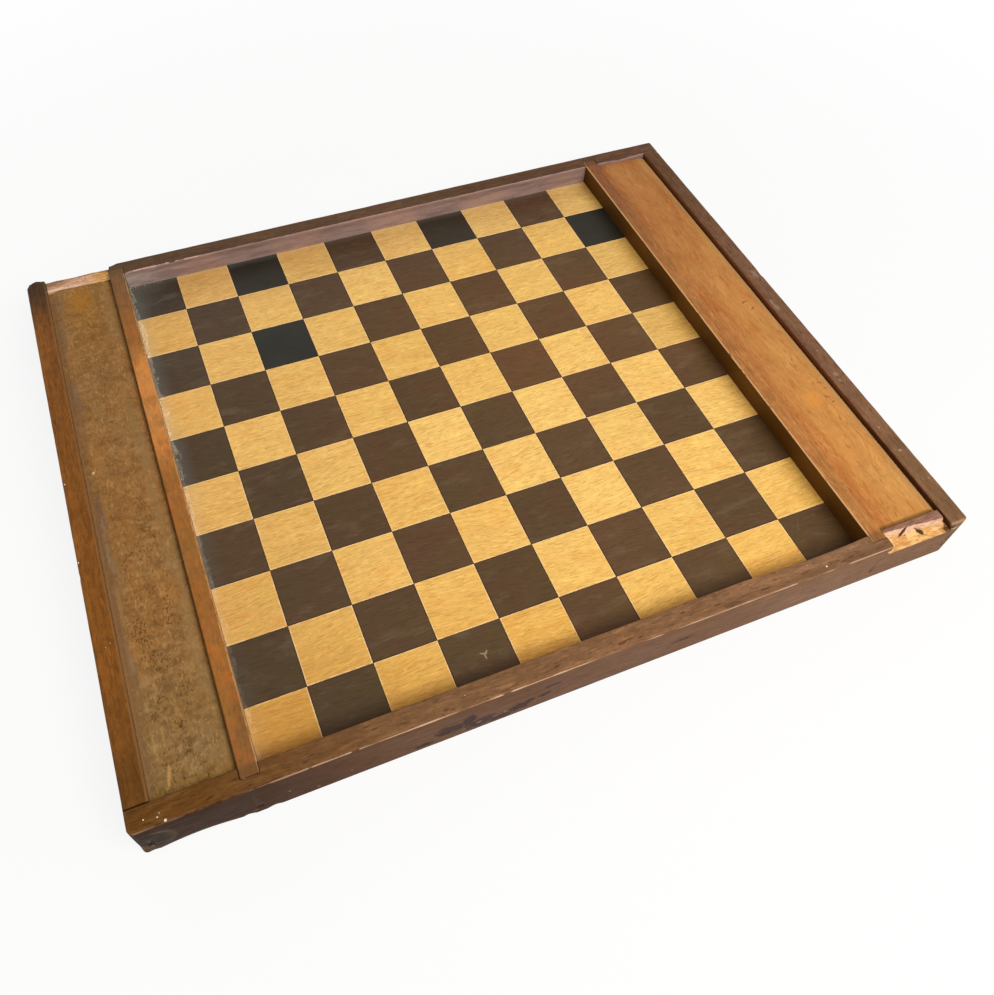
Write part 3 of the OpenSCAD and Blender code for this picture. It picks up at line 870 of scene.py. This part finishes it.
def front_rail_finish():
    mid = (128, 92, 63)
    f = rail_wood("red_brown_rail", 0, mid, 1.0, lines=0.3, glints=0.2)
    f.retone(f.ramp(f.x, 0.02, 0.17), mid, (138, 102, 76))
    f.retone(f.ramp(f.x, -0.05, -0.19), mid, (100, 64, 25))
    outside = f.ramp(f.y, -HALF_W + 0.9 * MM, -HALF_W + 0.3 * MM)
    f.lay(outside, (116, 82, 56), 0.45)
    f.retone(f.all_of(outside, f.ramp(f.x, 0.15, -0.04)), mid, (112, 78, 54))
    f.retone(f.all_of(outside, f.ramp(f.x, -0.07, -0.18)), (108, 76, 50), (62, 36, 8))
    f.mark(front_spots(2, (-60, 14, 3.0, 6), (-68, 12, 7, 4.5), (-53.6, 7.6, 8, 4.2), (-36, 8, 5, 3.4),
                       (-31, 11, 2.4, 1.6), (-23.9, 11.3, 3, 1.5), (-45, 5, 8, 2.6), (-80, 5, 5, 2.0),
                       (-21, 19, 4, 1.2), (-152, 3, 1.8, 1.0), (44, 14, 5, 1.2)),
           0.8, (44, 29, 30), ragged=0.9, grit=2.2)
    f.mark(front_spots(1, (-138.8, 11.9, 0.7, 0.7), (-127.1, 4.5, 0.8, 0.6), (-112.5, 8.6, 0.6, 0.6),
                       (-153.6, 4.4, 0.9, 0.5), (168.5, 9.8, 0.9, 0.8), (-55, 8, 1.4, 1.0),
                       (-47, 8, 1.2, 0.9), (-62, 6, 0.9, 0.7), (-43, 9.4, 0.8, 0.7)),
           0.5, (150, 124, 112), grit=0.7)

    # The left end has a patch of old grey filler with a pale rim
    patch, heart = (f.spots(front_spots(3, row), ragged=0.14, soft=0.10, grit=6) for row in (
        (-193.5, 15, 9.5, 9.0), (-194.4, 14.5, 8.2, 7.8)))
    f.lay(f.all_of(patch, 0.75), f.mix(f.ramp(f.cloud, 0.4, 0.6), (38, 29, 16), (58, 48, 32)))
    rim = f.math("SUBTRACT", patch, heart, clamp=True)
    f.lay(f.all_of(rim, f.ramp(f.slow, 0.4, 0.55), f.ramp(f.x, -0.195, -0.189)), (112, 92, 76), 0.5)
    f.lay(f.all_of(f.ramp(f.z, 6 * MM, 1.0 * MM), f.ramp(f.x, -0.174, -0.19, 0.0, 0.7)), (46, 40, 26))
    raw_notch(f, DIV_HIGH, (198, 142, 80), (232, 190, 128))
    brad_slots(f)

    # Small dark dents and dirty grain along the top
    dents = ((21, -155.0, 1.0), (61, -153.6, 1.6), (86, -154.6, 2.6), (92, -152.4, 1.3), (108, -154.0, 3.0),
             (123.5, -154.3, 3.4), (128.5, -155.2, 2.0), (133, -154.6, 1.6), (-19, -154.2, 1.4),
             (-67.5, -155.5, 1.3), (-70.3, -154.9, 1.6), (-100, -152.0, 1.5), (-130, -154.8, 1.2),
             (44, -151.5, 1.4), (146, -150.5, 1.2))
    f.mark(level_spots(30, 1.0, *((x, y, long, 0.45, 3) for x, y, long in dents)),
           0.6, (66, 38, 26), ragged=0.7, grit=0.9)
    f.mark(level_spots(30, 1.0, (12.3, -154.6, 2.6, 0.7, 4), (16, -154.2, 1.8, 0.4, 4)),
           0.75, (76, 34, 24), ragged=0.6, grit=0.9)
    top = f.ramp(f.z, RIM_H - 0.5 * MM, RIM_H - 0.2 * MM)
    dirty = f.noise((90, 420, 420), (4, 0, 2), 4.0, 0.7)
    f.lay(f.all_of(top, f.ramp(dirty, 0.54, 0.68, 0.0, 0.4)), (78, 50, 28))
    f.lay(f.all_of(top, f.ramp(dirty, 0.47, 0.34, 0.0, 0.5), f.ramp(f.x, -0.12, -0.04, 0.3, 1.0)),
          (164, 122, 78))
    f.lay(f.all_of(top, f.ramp(f.y, -0.1522, -0.1556, 0.0, 0.5), f.ramp(f.x, 0.06, 0.11)), (96, 66, 44))

    # The edge is worn on the side of the face, less so at the left end, and its pale line is a painted
    # highlight as well
    out = f.less(f.all_of(f.y, -1.0), HALF_W)
    lower = f.add(f.all_of(out, 1.7), f.less(f.z, RIM_H))
    rubbed(f, (214, 178, 148), 0.8, gap=lower, crest=0.93, width=0.2, breaks=0.0,
           where=f.ramp(f.x, -0.17, -0.08, 0.4, 1.0))
    rubbed(f, (160, 118, 82), 0.2, width=0.8, breaks=0.5)
    joints(f, -1, 0.4, (-201, -189.8))
    return f.done(bump=0.10 * MM, specular=0.05)


def back_rail_finish():
    mid = (95, 69, 48)
    f = rail_wood("dark_rail", 0, mid, 1.7, glints=0.25)
    f.retone(f.ramp(f.x, 0.03, 0.18), mid, (100, 69, 50))
    # The face towards the field is painted a pale mauve grey: a painted sheen and light over the wood, whiter
    # towards the left corner with dust, and darker in a band below the top
    inner_x = f.ramp(f.size_of(f.x), SIDE_X + 0.3 * MM, SIDE_X - 0.3 * MM)
    inner_y = f.ramp(f.y, RAIL_Y + 0.45 * MM, RAIL_Y + 0.15 * MM)
    faces_field = f.all_of(inner_x, inner_y, f.upper_half())
    sheen_mottle = f.noise((45, 45, 260), detail=5.0, rough=0.7)
    f.lay(f.all_of(faces_field, 0.93), f.mix(f.ramp(sheen_mottle, 0.36, 0.60), (144, 119, 113), (168, 140, 133)))
    corner = f.ramp(f.x, -0.108, -0.145, 0.0, 0.8)
    f.lay(f.all_of(faces_field, f.ramp(sheen_mottle, 0.42, 0.60, 0.3, 1.0), corner), (182, 168, 160))
    f.dim(f.all_of(faces_field, f.between(f.z, 26.2 * MM, 28.6 * MM, 0.8 * MM)), 0.82, 0.80, 0.78)
    # The pale pink line along the inner top edge is rubbed wear and a painted highlight, strongest at the
    # left
    rim = f.add(f.less(RAIL_Y, f.y), f.less(f.z, RIM_H))
    rubbed(f, (186, 150, 140), 0.35, gap=rim, crest=INNER_CREST, width=0.3, breaks=0.3)
    left_rim = f.add(rim, f.ramp(f.x, -0.085, -0.105, -5 * MM, 0.0))
    rubbed(f, (212, 172, 164), 0.9, gap=left_rim, crest=INNER_CREST, width=0.3, breaks=0.3)
    rubbed(f, (136, 98, 70), 0.5, breaks=0.6)
    raw_notch(f, -DIV_HIGH, (178, 124, 74), (214, 160, 104))
    joints(f, 1, 0.25, (189.8, 201))
    return f.done(bump=0.08 * MM, specular=0.08)


def left_rail_finish():
    mid = (129, 79, 29)
    f = rail_wood("orange_brown_rail", 1, mid, 3.2, glints=0.2, pores=0.35)
    f.retone(f.ramp(f.y, -0.08, -0.15), mid, (104, 66, 24))
    f.retone(f.ramp(f.y, 0.115, 0.150), mid, (72, 48, 24))
    # The face towards the lid is painted paler and greyer: a painted sheen where it catches the light
    faces_lid = f.all_of(f.ramp(f.x, -SIDE_X - 1.2 * MM, -SIDE_X - 0.2 * MM), f.upper_half())
    f.lay(faces_lid, (136, 100, 62), 0.6)
    lap = f.all_of(f.ramp(f.y, 0.1474, 0.1480), f.ramp(f.x, -SIDE_X - 3 * MM, -SIDE_X + 1 * MM))
    f.lay(lap, (52, 40, 30), 0.5)
    rubbed(f, (172, 118, 62), 0.45, width=0.35, breaks=0.5)
    seam(f, f.y, -RAIL_Y / MM, 0.4, (f.z, -1, 31))
    return f.done(bump=0.08 * MM, specular=0.08)


def right_rail_finish():
    mid = (117, 83, 61)
    f = rail_wood("brown_rail", 1, mid, 4.4, glints=0.25)
    f.retone(f.ramp(f.y, -0.04, -0.15), mid, (126, 92, 63))
    f.retone(f.ramp(f.y, 0.02, 0.14), mid, (100, 69, 46))
    # Painted shade: the inner face above the lid is painted very dark, darker still towards the front and
    # down at the lid
    faces_lid = f.all_of(f.ramp(f.x, SIDE_X + 2.8 * MM, SIDE_X + 2.6 * MM), f.upper_half(),
                         f.ramp(f.z, RIM_H - 0.5 * MM, RIM_H - 0.9 * MM))
    inner_face_shade = f.mix(f.ramp(f.y, -0.105, -0.07), (70, 30, 4), (114, 60, 14))
    f.lay(f.all_of(faces_lid, 0.9), f.mix(f.ramp(f.z, 26.8 * MM, 28.4 * MM), (44, 20, 4), inner_face_shade))
    f.mark(level_spots(30, 1.5, (192.9, -3.8, 1.2, 2.2, 10), (192.4, 0.6, 0.9, 2.0, 0),
                       (194.4, -57.9, 1.2, 1.6, 0), (193.9, -62.2, 0.9, 1.2, 0), (196, 24, 1.4, 3, 0)),
           0.5, (160, 136, 114), ragged=1.1, grit=0.9)
    f.mark(level_spots(30, 1.5, (195, -40, 0.4, 0.5, 0), (193.6, -96, 0.5, 0.7, 0),
                       (194.6, -112, 0.9, 0.7, 0), (197, -131, 0.4, 0.4, 0)),
           0.5, (186, 160, 134), grit=0.7)
    f.mark(level_spots(29.5, 2.0, (199, 148.5, 1.4, 3.4, 0)), 0.7, (176, 92, 54))
    # A painted highlight along the top of the near end
    near_end = f.ramp(f.y, -HALF_W + 1.6 * MM, -HALF_W + 0.6 * MM)
    f.lay(f.all_of(near_end, f.ramp(f.z, RIM_H - 2.2 * MM, RIM_H - 0.6 * MM, 0.0, 0.6)), (176, 140, 106))
    lap = f.between(f.z, 23.6 * MM, 25.2 * MM, 0.3 * MM)
    f.lay(f.all_of(near_end, lap, f.ramp(f.x, 0.198, 0.194)), (186, 158, 128))
    rubbed(f, (164, 122, 90), 0.5, width=0.35, breaks=0.4)
    seam(f, f.z, 23.4, 0.3, (f.y, -158, -147))
    return f.done(bump=0.08 * MM, specular=0.08)


def divider_top(f):
    return f.ramp(f.z, RIM_H - 0.6 * MM, RIM_H - 0.2 * MM)


def divider_done(f):
    """Dirt where the divider's ends are let into the long rails."""
    ends = f.less(f.size_of(f.y), RAIL_Y)
    f.lay(f.all_of(f.ramp(ends, -1.5 * MM, 1.5 * MM, 0.0, 0.5), divider_top(f)), (84, 58, 30))
    return f.done(bump=0.08 * MM, specular=0.15)


def right_divider_finish():
    mid = (175, 117, 62)
    f = rail_wood("right_divider_tan", 1, mid, 5.9, spread=0.20, blotch=0.35, pores=0.4)
    f.retone(f.ramp(f.y, 0.0, 0.145), mid, (134, 84, 50))
    # Painted shade: the face towards the field is painted dark brown, darkest at its foot
    face = f.all_of(f.ramp(f.x, DIV_LOW + 0.4 * MM, DIV_LOW + 0.1 * MM), f.upper_half())
    f.lay(f.all_of(face, 0.93), f.mix(f.ramp(f.z, 19 * MM, 29 * MM), (80, 48, 3), (97, 64, 12)))
    # The pale line along the inner top edge is rubbed wear and a painted highlight
    edge = f.add(f.less(DIV_LOW, f.x), f.less(f.z, RIM_H))
    rubbed(f, (232, 184, 134), 0.8, gap=edge, crest=INNER_CREST, width=0.3, breaks=0.0)
    red = f.noise((320, 22, 320), (5, 2, 2), 4.0, 0.65)
    f.lay(f.all_of(divider_top(f), f.ramp(red, 0.52, 0.66, 0.0, 0.5)), (140, 78, 46))
    return divider_done(f)


def left_divider_finish():
    mid = (150, 96, 41)
    f = rail_wood("left_divider_orange", 1, mid, 5.1, spread=0.20, blotch=0.35, pores=0.15, lines=0.15,
                  glints=0.2, mottle=0.4, bands=0.5)
    glow = f.noise((60, 26, 60), (1, 4, 2), rough=0.6)
    glowing = f.all_of(f.between(f.y, 12 * MM, 84 * MM, 16 * MM), f.ramp(glow, 0.36, 0.56))
    f.retone(glowing, mid, (204, 134, 66))
    f.retone(f.ramp(f.y, -0.11, -0.145, 0.0, 0.8), mid, (128, 84, 42))
    stain = f.noise((150, 110, 150), (6, 3, 1), 4.0, 0.65, 0.5)
    f.retone(f.ramp(stain, 0.52, 0.64, 0.0, 0.6), mid, (172, 98, 40))
    f.retone(f.ramp(stain, 0.47, 0.35, 0.0, 0.6), mid, (128, 90, 44))
    f.retone(f.ramp(f.y, 0.095, 0.150), mid, (112, 76, 40))
    face = f.all_of(f.ramp(f.x, -DIV_LOW - 0.4 * MM, -DIV_LOW - 0.1 * MM), f.upper_half())
    f.lay(f.all_of(face, f.ramp(f.cloud, 0.38, 0.55, 0.2, 0.5)), (206, 178, 140))
    # The pale line along the inner top edge is rubbed wear and a painted highlight
    edge = f.add(f.add(DIV_LOW, f.x), f.less(f.z, RIM_H))
    rubbed(f, (212, 166, 112), 0.4, gap=edge, crest=INNER_CREST, width=0.3, breaks=0.45)
    # Painted shade on the face beside the left lid
    side = f.all_of(f.ramp(f.x, -DIV_HIGH + 0.6 * MM, -DIV_HIGH + 0.2 * MM), f.upper_half())
    f.lay(side, (106, 66, 24), 0.5)
    return divider_done(f)


def right_lid_finish():
    mid = (193, 134, 71)
    f = wood("tan_lid", 1, shades(mid, 0.13), 7.3, lines=0.22, line_size=(8.0, 1.0), glints=0.12, mottle=0.4,
             pores=0.12, pore_size=(4.0, 0.6), bend=2.4, wave=1.3, blotch=0.3, rough=(0.38, 0.52),
             line_tone=(0.86, 0.72, 0.52))
    # Darker towards the far end: partly the wood, partly painted falloff of the light
    f.retone(f.ramp(f.y, -0.10, 0.15), mid, (170, 113, 61))
    flame = f.noise((70, 22, 70), (3, 1, 2), 4.0, 0.6, 0.6, turn=6)
    f.retone(f.ramp(flame, 0.52, 0.64, 0.0, 0.8), mid, (180, 114, 54))
    f.retone(f.ramp(flame, 0.47, 0.36, 0.0, 0.8), mid, (202, 147, 80))
    vein = f.noise((400, 75, 400), (2, 5, 1), 3.0, 0.6, 1.8, turn=8)
    f.lay(f.ramp(vein, 0.55, 0.66, 0.0, 0.62), (160, 98, 42))
    f.lay(f.all_of(f.ramp(vein, 0.44, 0.34, 0.0, 0.45), f.ramp(f.y, -0.05, 0.06, 0.3, 1.0)), (206, 142, 74))
    darker = f.ramp(f.noise((160, 30, 160), detail=4.0, rough=0.6), 0.38, 0.58, 0.3, 1.0)
    left = f.all_of(f.ramp(f.x, 0.1680, 0.1580), darker)
    f.retone(f.all_of(left, 0.6), mid, (178, 112, 62))
    dash = f.noise((900, 200, 900), (6, 2, 1), 2.0, 0.5)
    dashed = f.any_of(left, f.ramp(f.y, -0.10, -0.135, 0.0, 0.7))
    f.lay(f.all_of(dashed, f.ramp(dash, 0.60, 0.68, 0.0, 0.5)), (112, 62, 30))
    nicks = level_spots(27.5, 2, (184.3, -58.5, 1.8, 0.4, -28), (185.0, -62.5, 1.5, 0.35, -20),
                        (182.6, -68.2, 1.8, 0.45, -35), (183.6, -72.0, 1.2, 0.35, 10))
    bevel_streak = level_spots(27, 2, (156.8, -71.8, 0.5, 5, 0))
    dents = level_spots(27.5, 2, (179, 8, 1.6, 0.6, 20), (181, 2, 1.5, 0.5, 30))
    f.mark(nicks + bevel_streak + dents, 0.8, (134, 76, 32), ragged=0.9, grit=1.2)
    f.mark(level_spots(27.5, 2, (174, -67.5, 5, 6, 0)), 0.4, (222, 148, 60), ragged=0.6, soft=0.6, grit=5)
    # Painted highlight: the right bevel is painted paler, with a pale line by the rail where its shadow would
    # fall
    outer = f.ramp(f.add(f.x, f.wander(6 * MM, (60, 40, 60), (8, 2, 1))), 0.1830, 0.1880)
    f.lay(outer, (204, 158, 100), 0.4)
    f.lay(f.ramp(f.x, SIDE_X - 1.8 * MM, SIDE_X - 0.8 * MM, 0.0, 0.5), (226, 180, 126))
    grime(f, 0.3, (150, 96, 44), size=16, low=0.54, high=0.78, seed=6)
    torn = f.ramp(f.y, -RAIL_Y - 0.9 * MM, -RAIL_Y - 1.3 * MM)
    f.lay(torn, f.mix(f.ramp(f.cloud, 0.4, 0.6), (208, 150, 92), (242, 196, 136)))
    # Painted shade with dirt in a band just behind the batten's lip
    f.lay(f.near(f.y, -RAIL_Y + 0.9 * MM, 1.5 * MM), (112, 78, 24), 0.7)
    brad_slots(f)
    return f.done(bump=0.05 * MM, specular=0.12)


def left_lid_finish():
    mid = (144, 103, 57)
    f = wood("mottled_lid", 1, shades(mid, 0.13), 8.9, bands=0.35, lines=0.25, line_size=(3.0, 1.3),
             glints=0.3, mottle=0.5, pores=0.2, pore_size=(2.4, 0.9), bend=0.8, wave=1.2, blotch=0.5,
             rough=(0.58, 0.78), line_tone=(0.80, 0.74, 0.66))
    worn = f.noise((65, 40, 65), (1, 5, 3), 4.0, 0.6)
    f.retone(f.ramp(worn, 0.48, 0.66, 0.0, 0.6), mid, (154, 106, 54))
    f.retone(f.ramp(worn, 0.46, 0.32, 0.0, 0.6), mid, (137, 103, 63))

    # Patches a few millimetres across, rubbed pale and stained dark
    patch = f.noise((170, 230, 170), (3, 3, 3), 4.0, 0.62, 0.4)
    f.lay(f.ramp(patch, 0.53, 0.66, 0.0, 0.50), (108, 74, 38))
    f.lay(f.ramp(patch, 0.47, 0.34, 0.0, 0.50), (170, 130, 82))
    middle = f.all_of(f.between(f.x, -0.182, -0.164, 3 * MM), f.ramp(f.y, 0.06, -0.13, 0.2, 1.0))
    f.lay(f.all_of(middle, f.ramp(f.cloud, 0.48, 0.62, 0.0, 0.4)), (92, 60, 28))
    f.retone(f.ramp(f.y, -0.06, -0.14), mid, (136, 105, 64))

    # Pits and rubbed streaks lie in clusters, most of them down the middle
    cluster = f.noise((120, 85, 120), (9, 2, 6), 3.0, 0.6)
    specked = f.all_of(f.between(f.x, -0.184, -0.163, 3 * MM), f.ramp(f.y, 0.03, -0.10, 0.55, 1.0))
    pitted = f.ramp(f.noise((1300, 620, 1300), (5, 9, 4), 2.0, 0.5), 0.52, 0.62, 0.0, 0.8)
    f.lay(f.all_of(pitted, f.ramp(cluster, 0.46, 0.60, 0.12, 1.0), specked), (82, 50, 20))
    streak = f.ramp(f.noise((1000, 300, 1000), (2, 7, 3), 2.0, 0.5), 0.56, 0.66, 0.0, 0.5)
    f.lay(f.all_of(streak, f.ramp(cluster, 0.54, 0.42, 0.2, 1.0)), (180, 139, 85))
    flecks(f, 0.5, (196, 160, 108), 0.9, 0.70, 9.0, along=1, stretch=1.6)
    # Painted shade near the front end, where the front rail's shadow falls
    f.dim(f.ramp(f.y, -RAIL_Y + 9 * MM, -RAIL_Y + 2 * MM, 0.0, 0.8), 0.80, 0.76, 0.52)

    # The far end is golden in the middle and olive at its sides
    far = f.ramp(f.y, 0.085, 0.125)
    f.retone(f.all_of(far, f.between(f.x, -0.180, -0.167, 4 * MM)), mid, (148, 104, 50))
    f.mark(level_spots(27, 3, (-174.5, 134, 6.5, 7.5, 0)), 0.45, (176, 118, 44), ragged=0.5, soft=0.5, grit=4)
    f.mark(level_spots(27, 3, (-165.0, 137, 1.6, 9, 0)), 0.4, (112, 84, 40), ragged=0.5, soft=0.5, grit=3)

    # Greyish grime on the bevels, with wandering edges
    wandering = f.add(f.x, f.wander(16 * MM, (60, 34, 60), (7, 5, 3), 4.0, 0.6))
    patchy = f.noise((120, 26, 120), (7, 5, 3), 3.0, 0.6)
    outer = f.all_of(f.ramp(wandering, -SIDE_X + 6.5 * MM, -SIDE_X + 2.0 * MM),
                     f.ramp(patchy, 0.30, 0.56, 0.1, 0.75))
    f.lay(f.all_of(outer, f.ramp(f.y, 0.125, 0.100, 0.3, 1.0)), (130, 98, 69))
    pale = f.between(f.x, -0.1872, -0.1850, 0.8 * MM)
    f.lay(f.all_of(outer, pale, f.ramp(patchy, 0.48, 0.62, 0.0, 0.6)), (160, 142, 118))
    inside = f.between(wandering, -DIV_HIGH - 6.5 * MM, -DIV_HIGH - 1.0 * MM, 2 * MM)
    f.lay(f.all_of(inside, f.ramp(patchy, 0.38, 0.60, 0.0, 0.45)), (138, 112, 74))
    # Painted shadow along the edge beside the divider
    f.lay(f.ramp(f.x, -DIV_HIGH - 1.5 * MM, -DIV_HIGH - 0.4 * MM), (96, 62, 22), 0.5)
    # Painted light along the edge by the rail, against the shade of the gap there
    f.lay(f.ramp(f.x, -SIDE_X + 1.6 * MM, -SIDE_X + 0.6 * MM), (152, 116, 78), 0.6)
    scratches = level_spots(27, 2, (-184.0, -127, 0.7, 6, 4), (-186, -60, 1.0, 12, 0))
    f.mark(scratches, 0.3, (186, 144, 84), ragged=1.0)
    f.mark(level_spots(27, 2, (-181, -140, 0.8, 5, -12)), 0.5, (196, 152, 86), ragged=1.0)
    stains = level_spots(27, 2, (-186.4, -4, 1.4, 7, 0), (-185, -14, 0.8, 4, 4))
    f.mark(stains, 0.5, (108, 84, 72), ragged=0.9)
    f.mark(level_spots(27.5, 1, (-185.6, 16.0, 0.8, 0.8, 0)), 0.9, (226, 196, 140), grit=0.8)
    f.height = f.add(f.all_of(patch, -0.8), f.height)
    return f.done(bump=0.10 * MM, specular=0.08)


def torn_finish(name, polished):
    """Raw torn wood, pinkish and in part golden. polished is true where some of the old face is left."""
    f = wood(name, 0, shades((218, 176, 146), 0.16), 10.1, line_size=(5.0, 0.5), mottle=0.5, pores=0.3,
             pore_size=(3.0, 0.35), blotch=0.2, rough=(0.7, 0.85))
    grime(f, 0.4, (176, 118, 70), size=3, seed=5)
    if polished:
        golden = f.mix(f.ramp(f.cloud, 0.4, 0.6), (198, 144, 78), (236, 194, 124))
        f.lay(f.ramp(f.z, 0.0278, 0.0262, 0.0, 0.85), golden)
        old = f.ramp(f.z, RIM_H - 0.55 * MM, RIM_H - 0.35 * MM)
        f.lay(old, f.mix(f.ramp(f.line, 0.4, 0.62), (150, 110, 92), (122, 84, 68)))
        f.lay(f.ramp(f.y, -RAIL_Y - 0.45 * MM, -RAIL_Y - 0.1 * MM, 0.0, 0.9), (92, 58, 34))
        brad_slots(f)
    else:
        golden = f.mix(f.ramp(f.cloud, 0.4, 0.6), (206, 146, 72), (238, 194, 110))
        f.lay(f.ramp(f.x, -0.1690, -0.1600, 0.0, 0.8), golden)
        f.lay(f.ramp(f.line, 0.50, 0.60, 0.0, 0.6), (196, 128, 72))
        f.lay(f.all_of(f.ramp(f.x, -0.1740, -0.1860), f.ramp(f.y, 0.1505, 0.1545)), (128, 98, 72), 0.7)
        f.lay(f.all_of(f.near(f.y, 0.1494, 0.8 * MM), f.ramp(f.x, -0.166, -0.176, 0.0, 0.7)), (236, 206, 180))
        f.lay(f.ramp(f.y, 0.1558, 0.1572, 0.0, 0.6), (128, 86, 52))
        # A dark line along the stub's front edge: a crack at the lid's end, with a painted shadow in it
        f.lay(f.all_of(f.ramp(f.y, 0.1487, 0.1480), f.ramp(f.x, -0.1870, -0.1820, 0.3, 1.0)), (84, 48, 26))
    return f.done(bump=0.15 * MM, specular=0.08)


def plain_finish(name, dark, light, scale, rough, metallic=0.0):
    f = Finish(name)
    cloud = f.noise(scale, detail=4.0, rough=0.6)
    f.colour = f.mix(f.ramp(cloud, 0.38, 0.64), dark, light)
    f.rough = f.ramp(cloud, 0.3, 0.7, *rough)
    f.height = cloud
    f.shader.inputs["Metallic"].default_value = metallic
    return f.done(bump=0.03 * MM, specular=0.3)


# Build
def put(material, *names):
    for n in names:
        data = nodes[n].data
        data.materials.clear()
        data.materials.append(material)


studio()
squares = squares_tree()
gold = light_veneer()
chocolate = dark_veneer()
lay_squares(squares, "light_draughts_veneers", "draughts_light_squares", 10, 0, 11, gold)
lay_squares(squares, "dark_draughts_veneers", "draughts_dark_squares", 10, 1, 12, chocolate)
lay_squares(squares, "light_chess_veneers", "chess_light_squares", 8, 0, 13, gold, over=True)
lay_squares(squares, "dark_chess_veneers", "chess_dark_squares", 8, 1, 14, chocolate, over=True)

# The worst dents of the rails, from the photograph: centre, half sizes, move, how ragged
rubbed_rail("front_rail", 0, front_rail_finish(), (
    ((-178, -157.5, 0), (24, 5, 6), (0, 1.2, 0.6), 0), ((-156.5, -157.5, 0), (3, 3, 3), (0, 0.5, 0.4), 0.3),
    ((-146, -157.5, 0), (3.5, 3, 3), (0, 0.4, 0.4), 0.3), ((-197, -157.5, 6), (5, 4, 10), (0.8, 0.9, 0), 0),
    ((-110, -157.5, 30), (2.2, 2, 2), (0, 0.25, -0.2), 0.8),
    ((34, -157.5, 30), (2.4, 2, 2), (0, 0.2, -0.2), 0.8),
    ((104, -157.5, 30), (3, 2.5, 2.5), (0, 0.3, -0.25), 1.0),
    ((126, -157.5, 30), (5, 3, 3), (0, 0.4, -0.35), 1.0),
    ((118, -147.5, 30), (42, 3, 4), (0, -1.1, -0.5), 0)))
rubbed_rail("back_rail", 0, back_rail_finish(), (
    ((-155.5, 157.5, 27), (6, 6, 9), (1.2, -1.2, -0.2), 0),
    ((-147, 147.5, 30), (2.4, 2, 2), (0, 0.3, -0.3), 0.5),
    ((172, 147.5, 30), (8, 2, 2), (0, 0.3, -0.3), 0.8),
    ((-120, 147.5, 30), (2.4, 2, 2), (0, 0.3, -0.3), 0.8)))
rubbed_rail("left_rail", 1, left_rail_finish(), (
    ((-200, 157.5, 29), (5, 5, 7), (1.0, -1.0, -0.6), 0),
    ((-190.5, 157.5, 30), (3.5, 4, 4), (-0.2, -0.6, -0.6), 0),
    ((-200, -40, 30), (2.4, 2.4, 2.4), (0.2, 0, -0.2), 0.5)))
rubbed_rail("right_rail", 1, right_rail_finish(), (
    ((200, 148, 30), (3, 3, 3), (-0.5, 0, -0.5), 0.8), ((200, 24, 30), (4, 4, 4), (-0.3, 0, -0.3), 0.6)))

put(left_divider_finish(), "left_divider")
put(right_divider_finish(), "right_divider")
put(right_lid_finish(), "right_lid")
put(left_lid_finish(), "left_lid")
bare = wood("bare_pale_board", 1, shades((202, 160, 104), 0.2), 9.4, pores=0.3, rough=(0.6, 0.75))
grime(bare, 0.45, (120, 86, 52), size=18)
put(bare.done(bump=0.08 * MM), "panel_core", "left_floor", "right_floor")
right_lip(torn_finish("torn_lip_wood", True))
left_stub(torn_finish("torn_stub_wood", False))
rust = plain_finish("rusty_iron", (46, 34, 28), (98, 64, 46), 900, (0.55, 0.85), metallic=0.5)
put(rust, "left_lid_brads", "right_lid_brads", "front_nails", "back_nails")

ragged = blobs_tree()
paint = plain_finish("old_white_paint", (206, 196, 176), (238, 230, 214), 1500, (0.5, 0.7))
drips = [(x, y, 29.90, r * 0.75, r * 0.7, 0.08) for x, y, r in PAINT_DRIPS]
blobs(ragged, "paint_drips", drips, paint)
dust = plain_finish("pale_dust", (150, 132, 106), (220, 204, 172), 1400, (0.8, 0.95))
blobs(ragged, "dust_crumbs", dust_rows(), dust, fine=1, seed=5)
stopping = plain_finish("nail_stopping", (58, 44, 36), (92, 70, 56), 700, (0.6, 0.8))
plugs = [(s * 195, t * 157.28, z, 1.2, 0.14, 1.2) for s in (-1, 1) for t in (-1, 1) for z in (8.5, 15)]
blobs(ragged, "nail_stopping", plugs, stopping, ragged=0.05, fine=3)
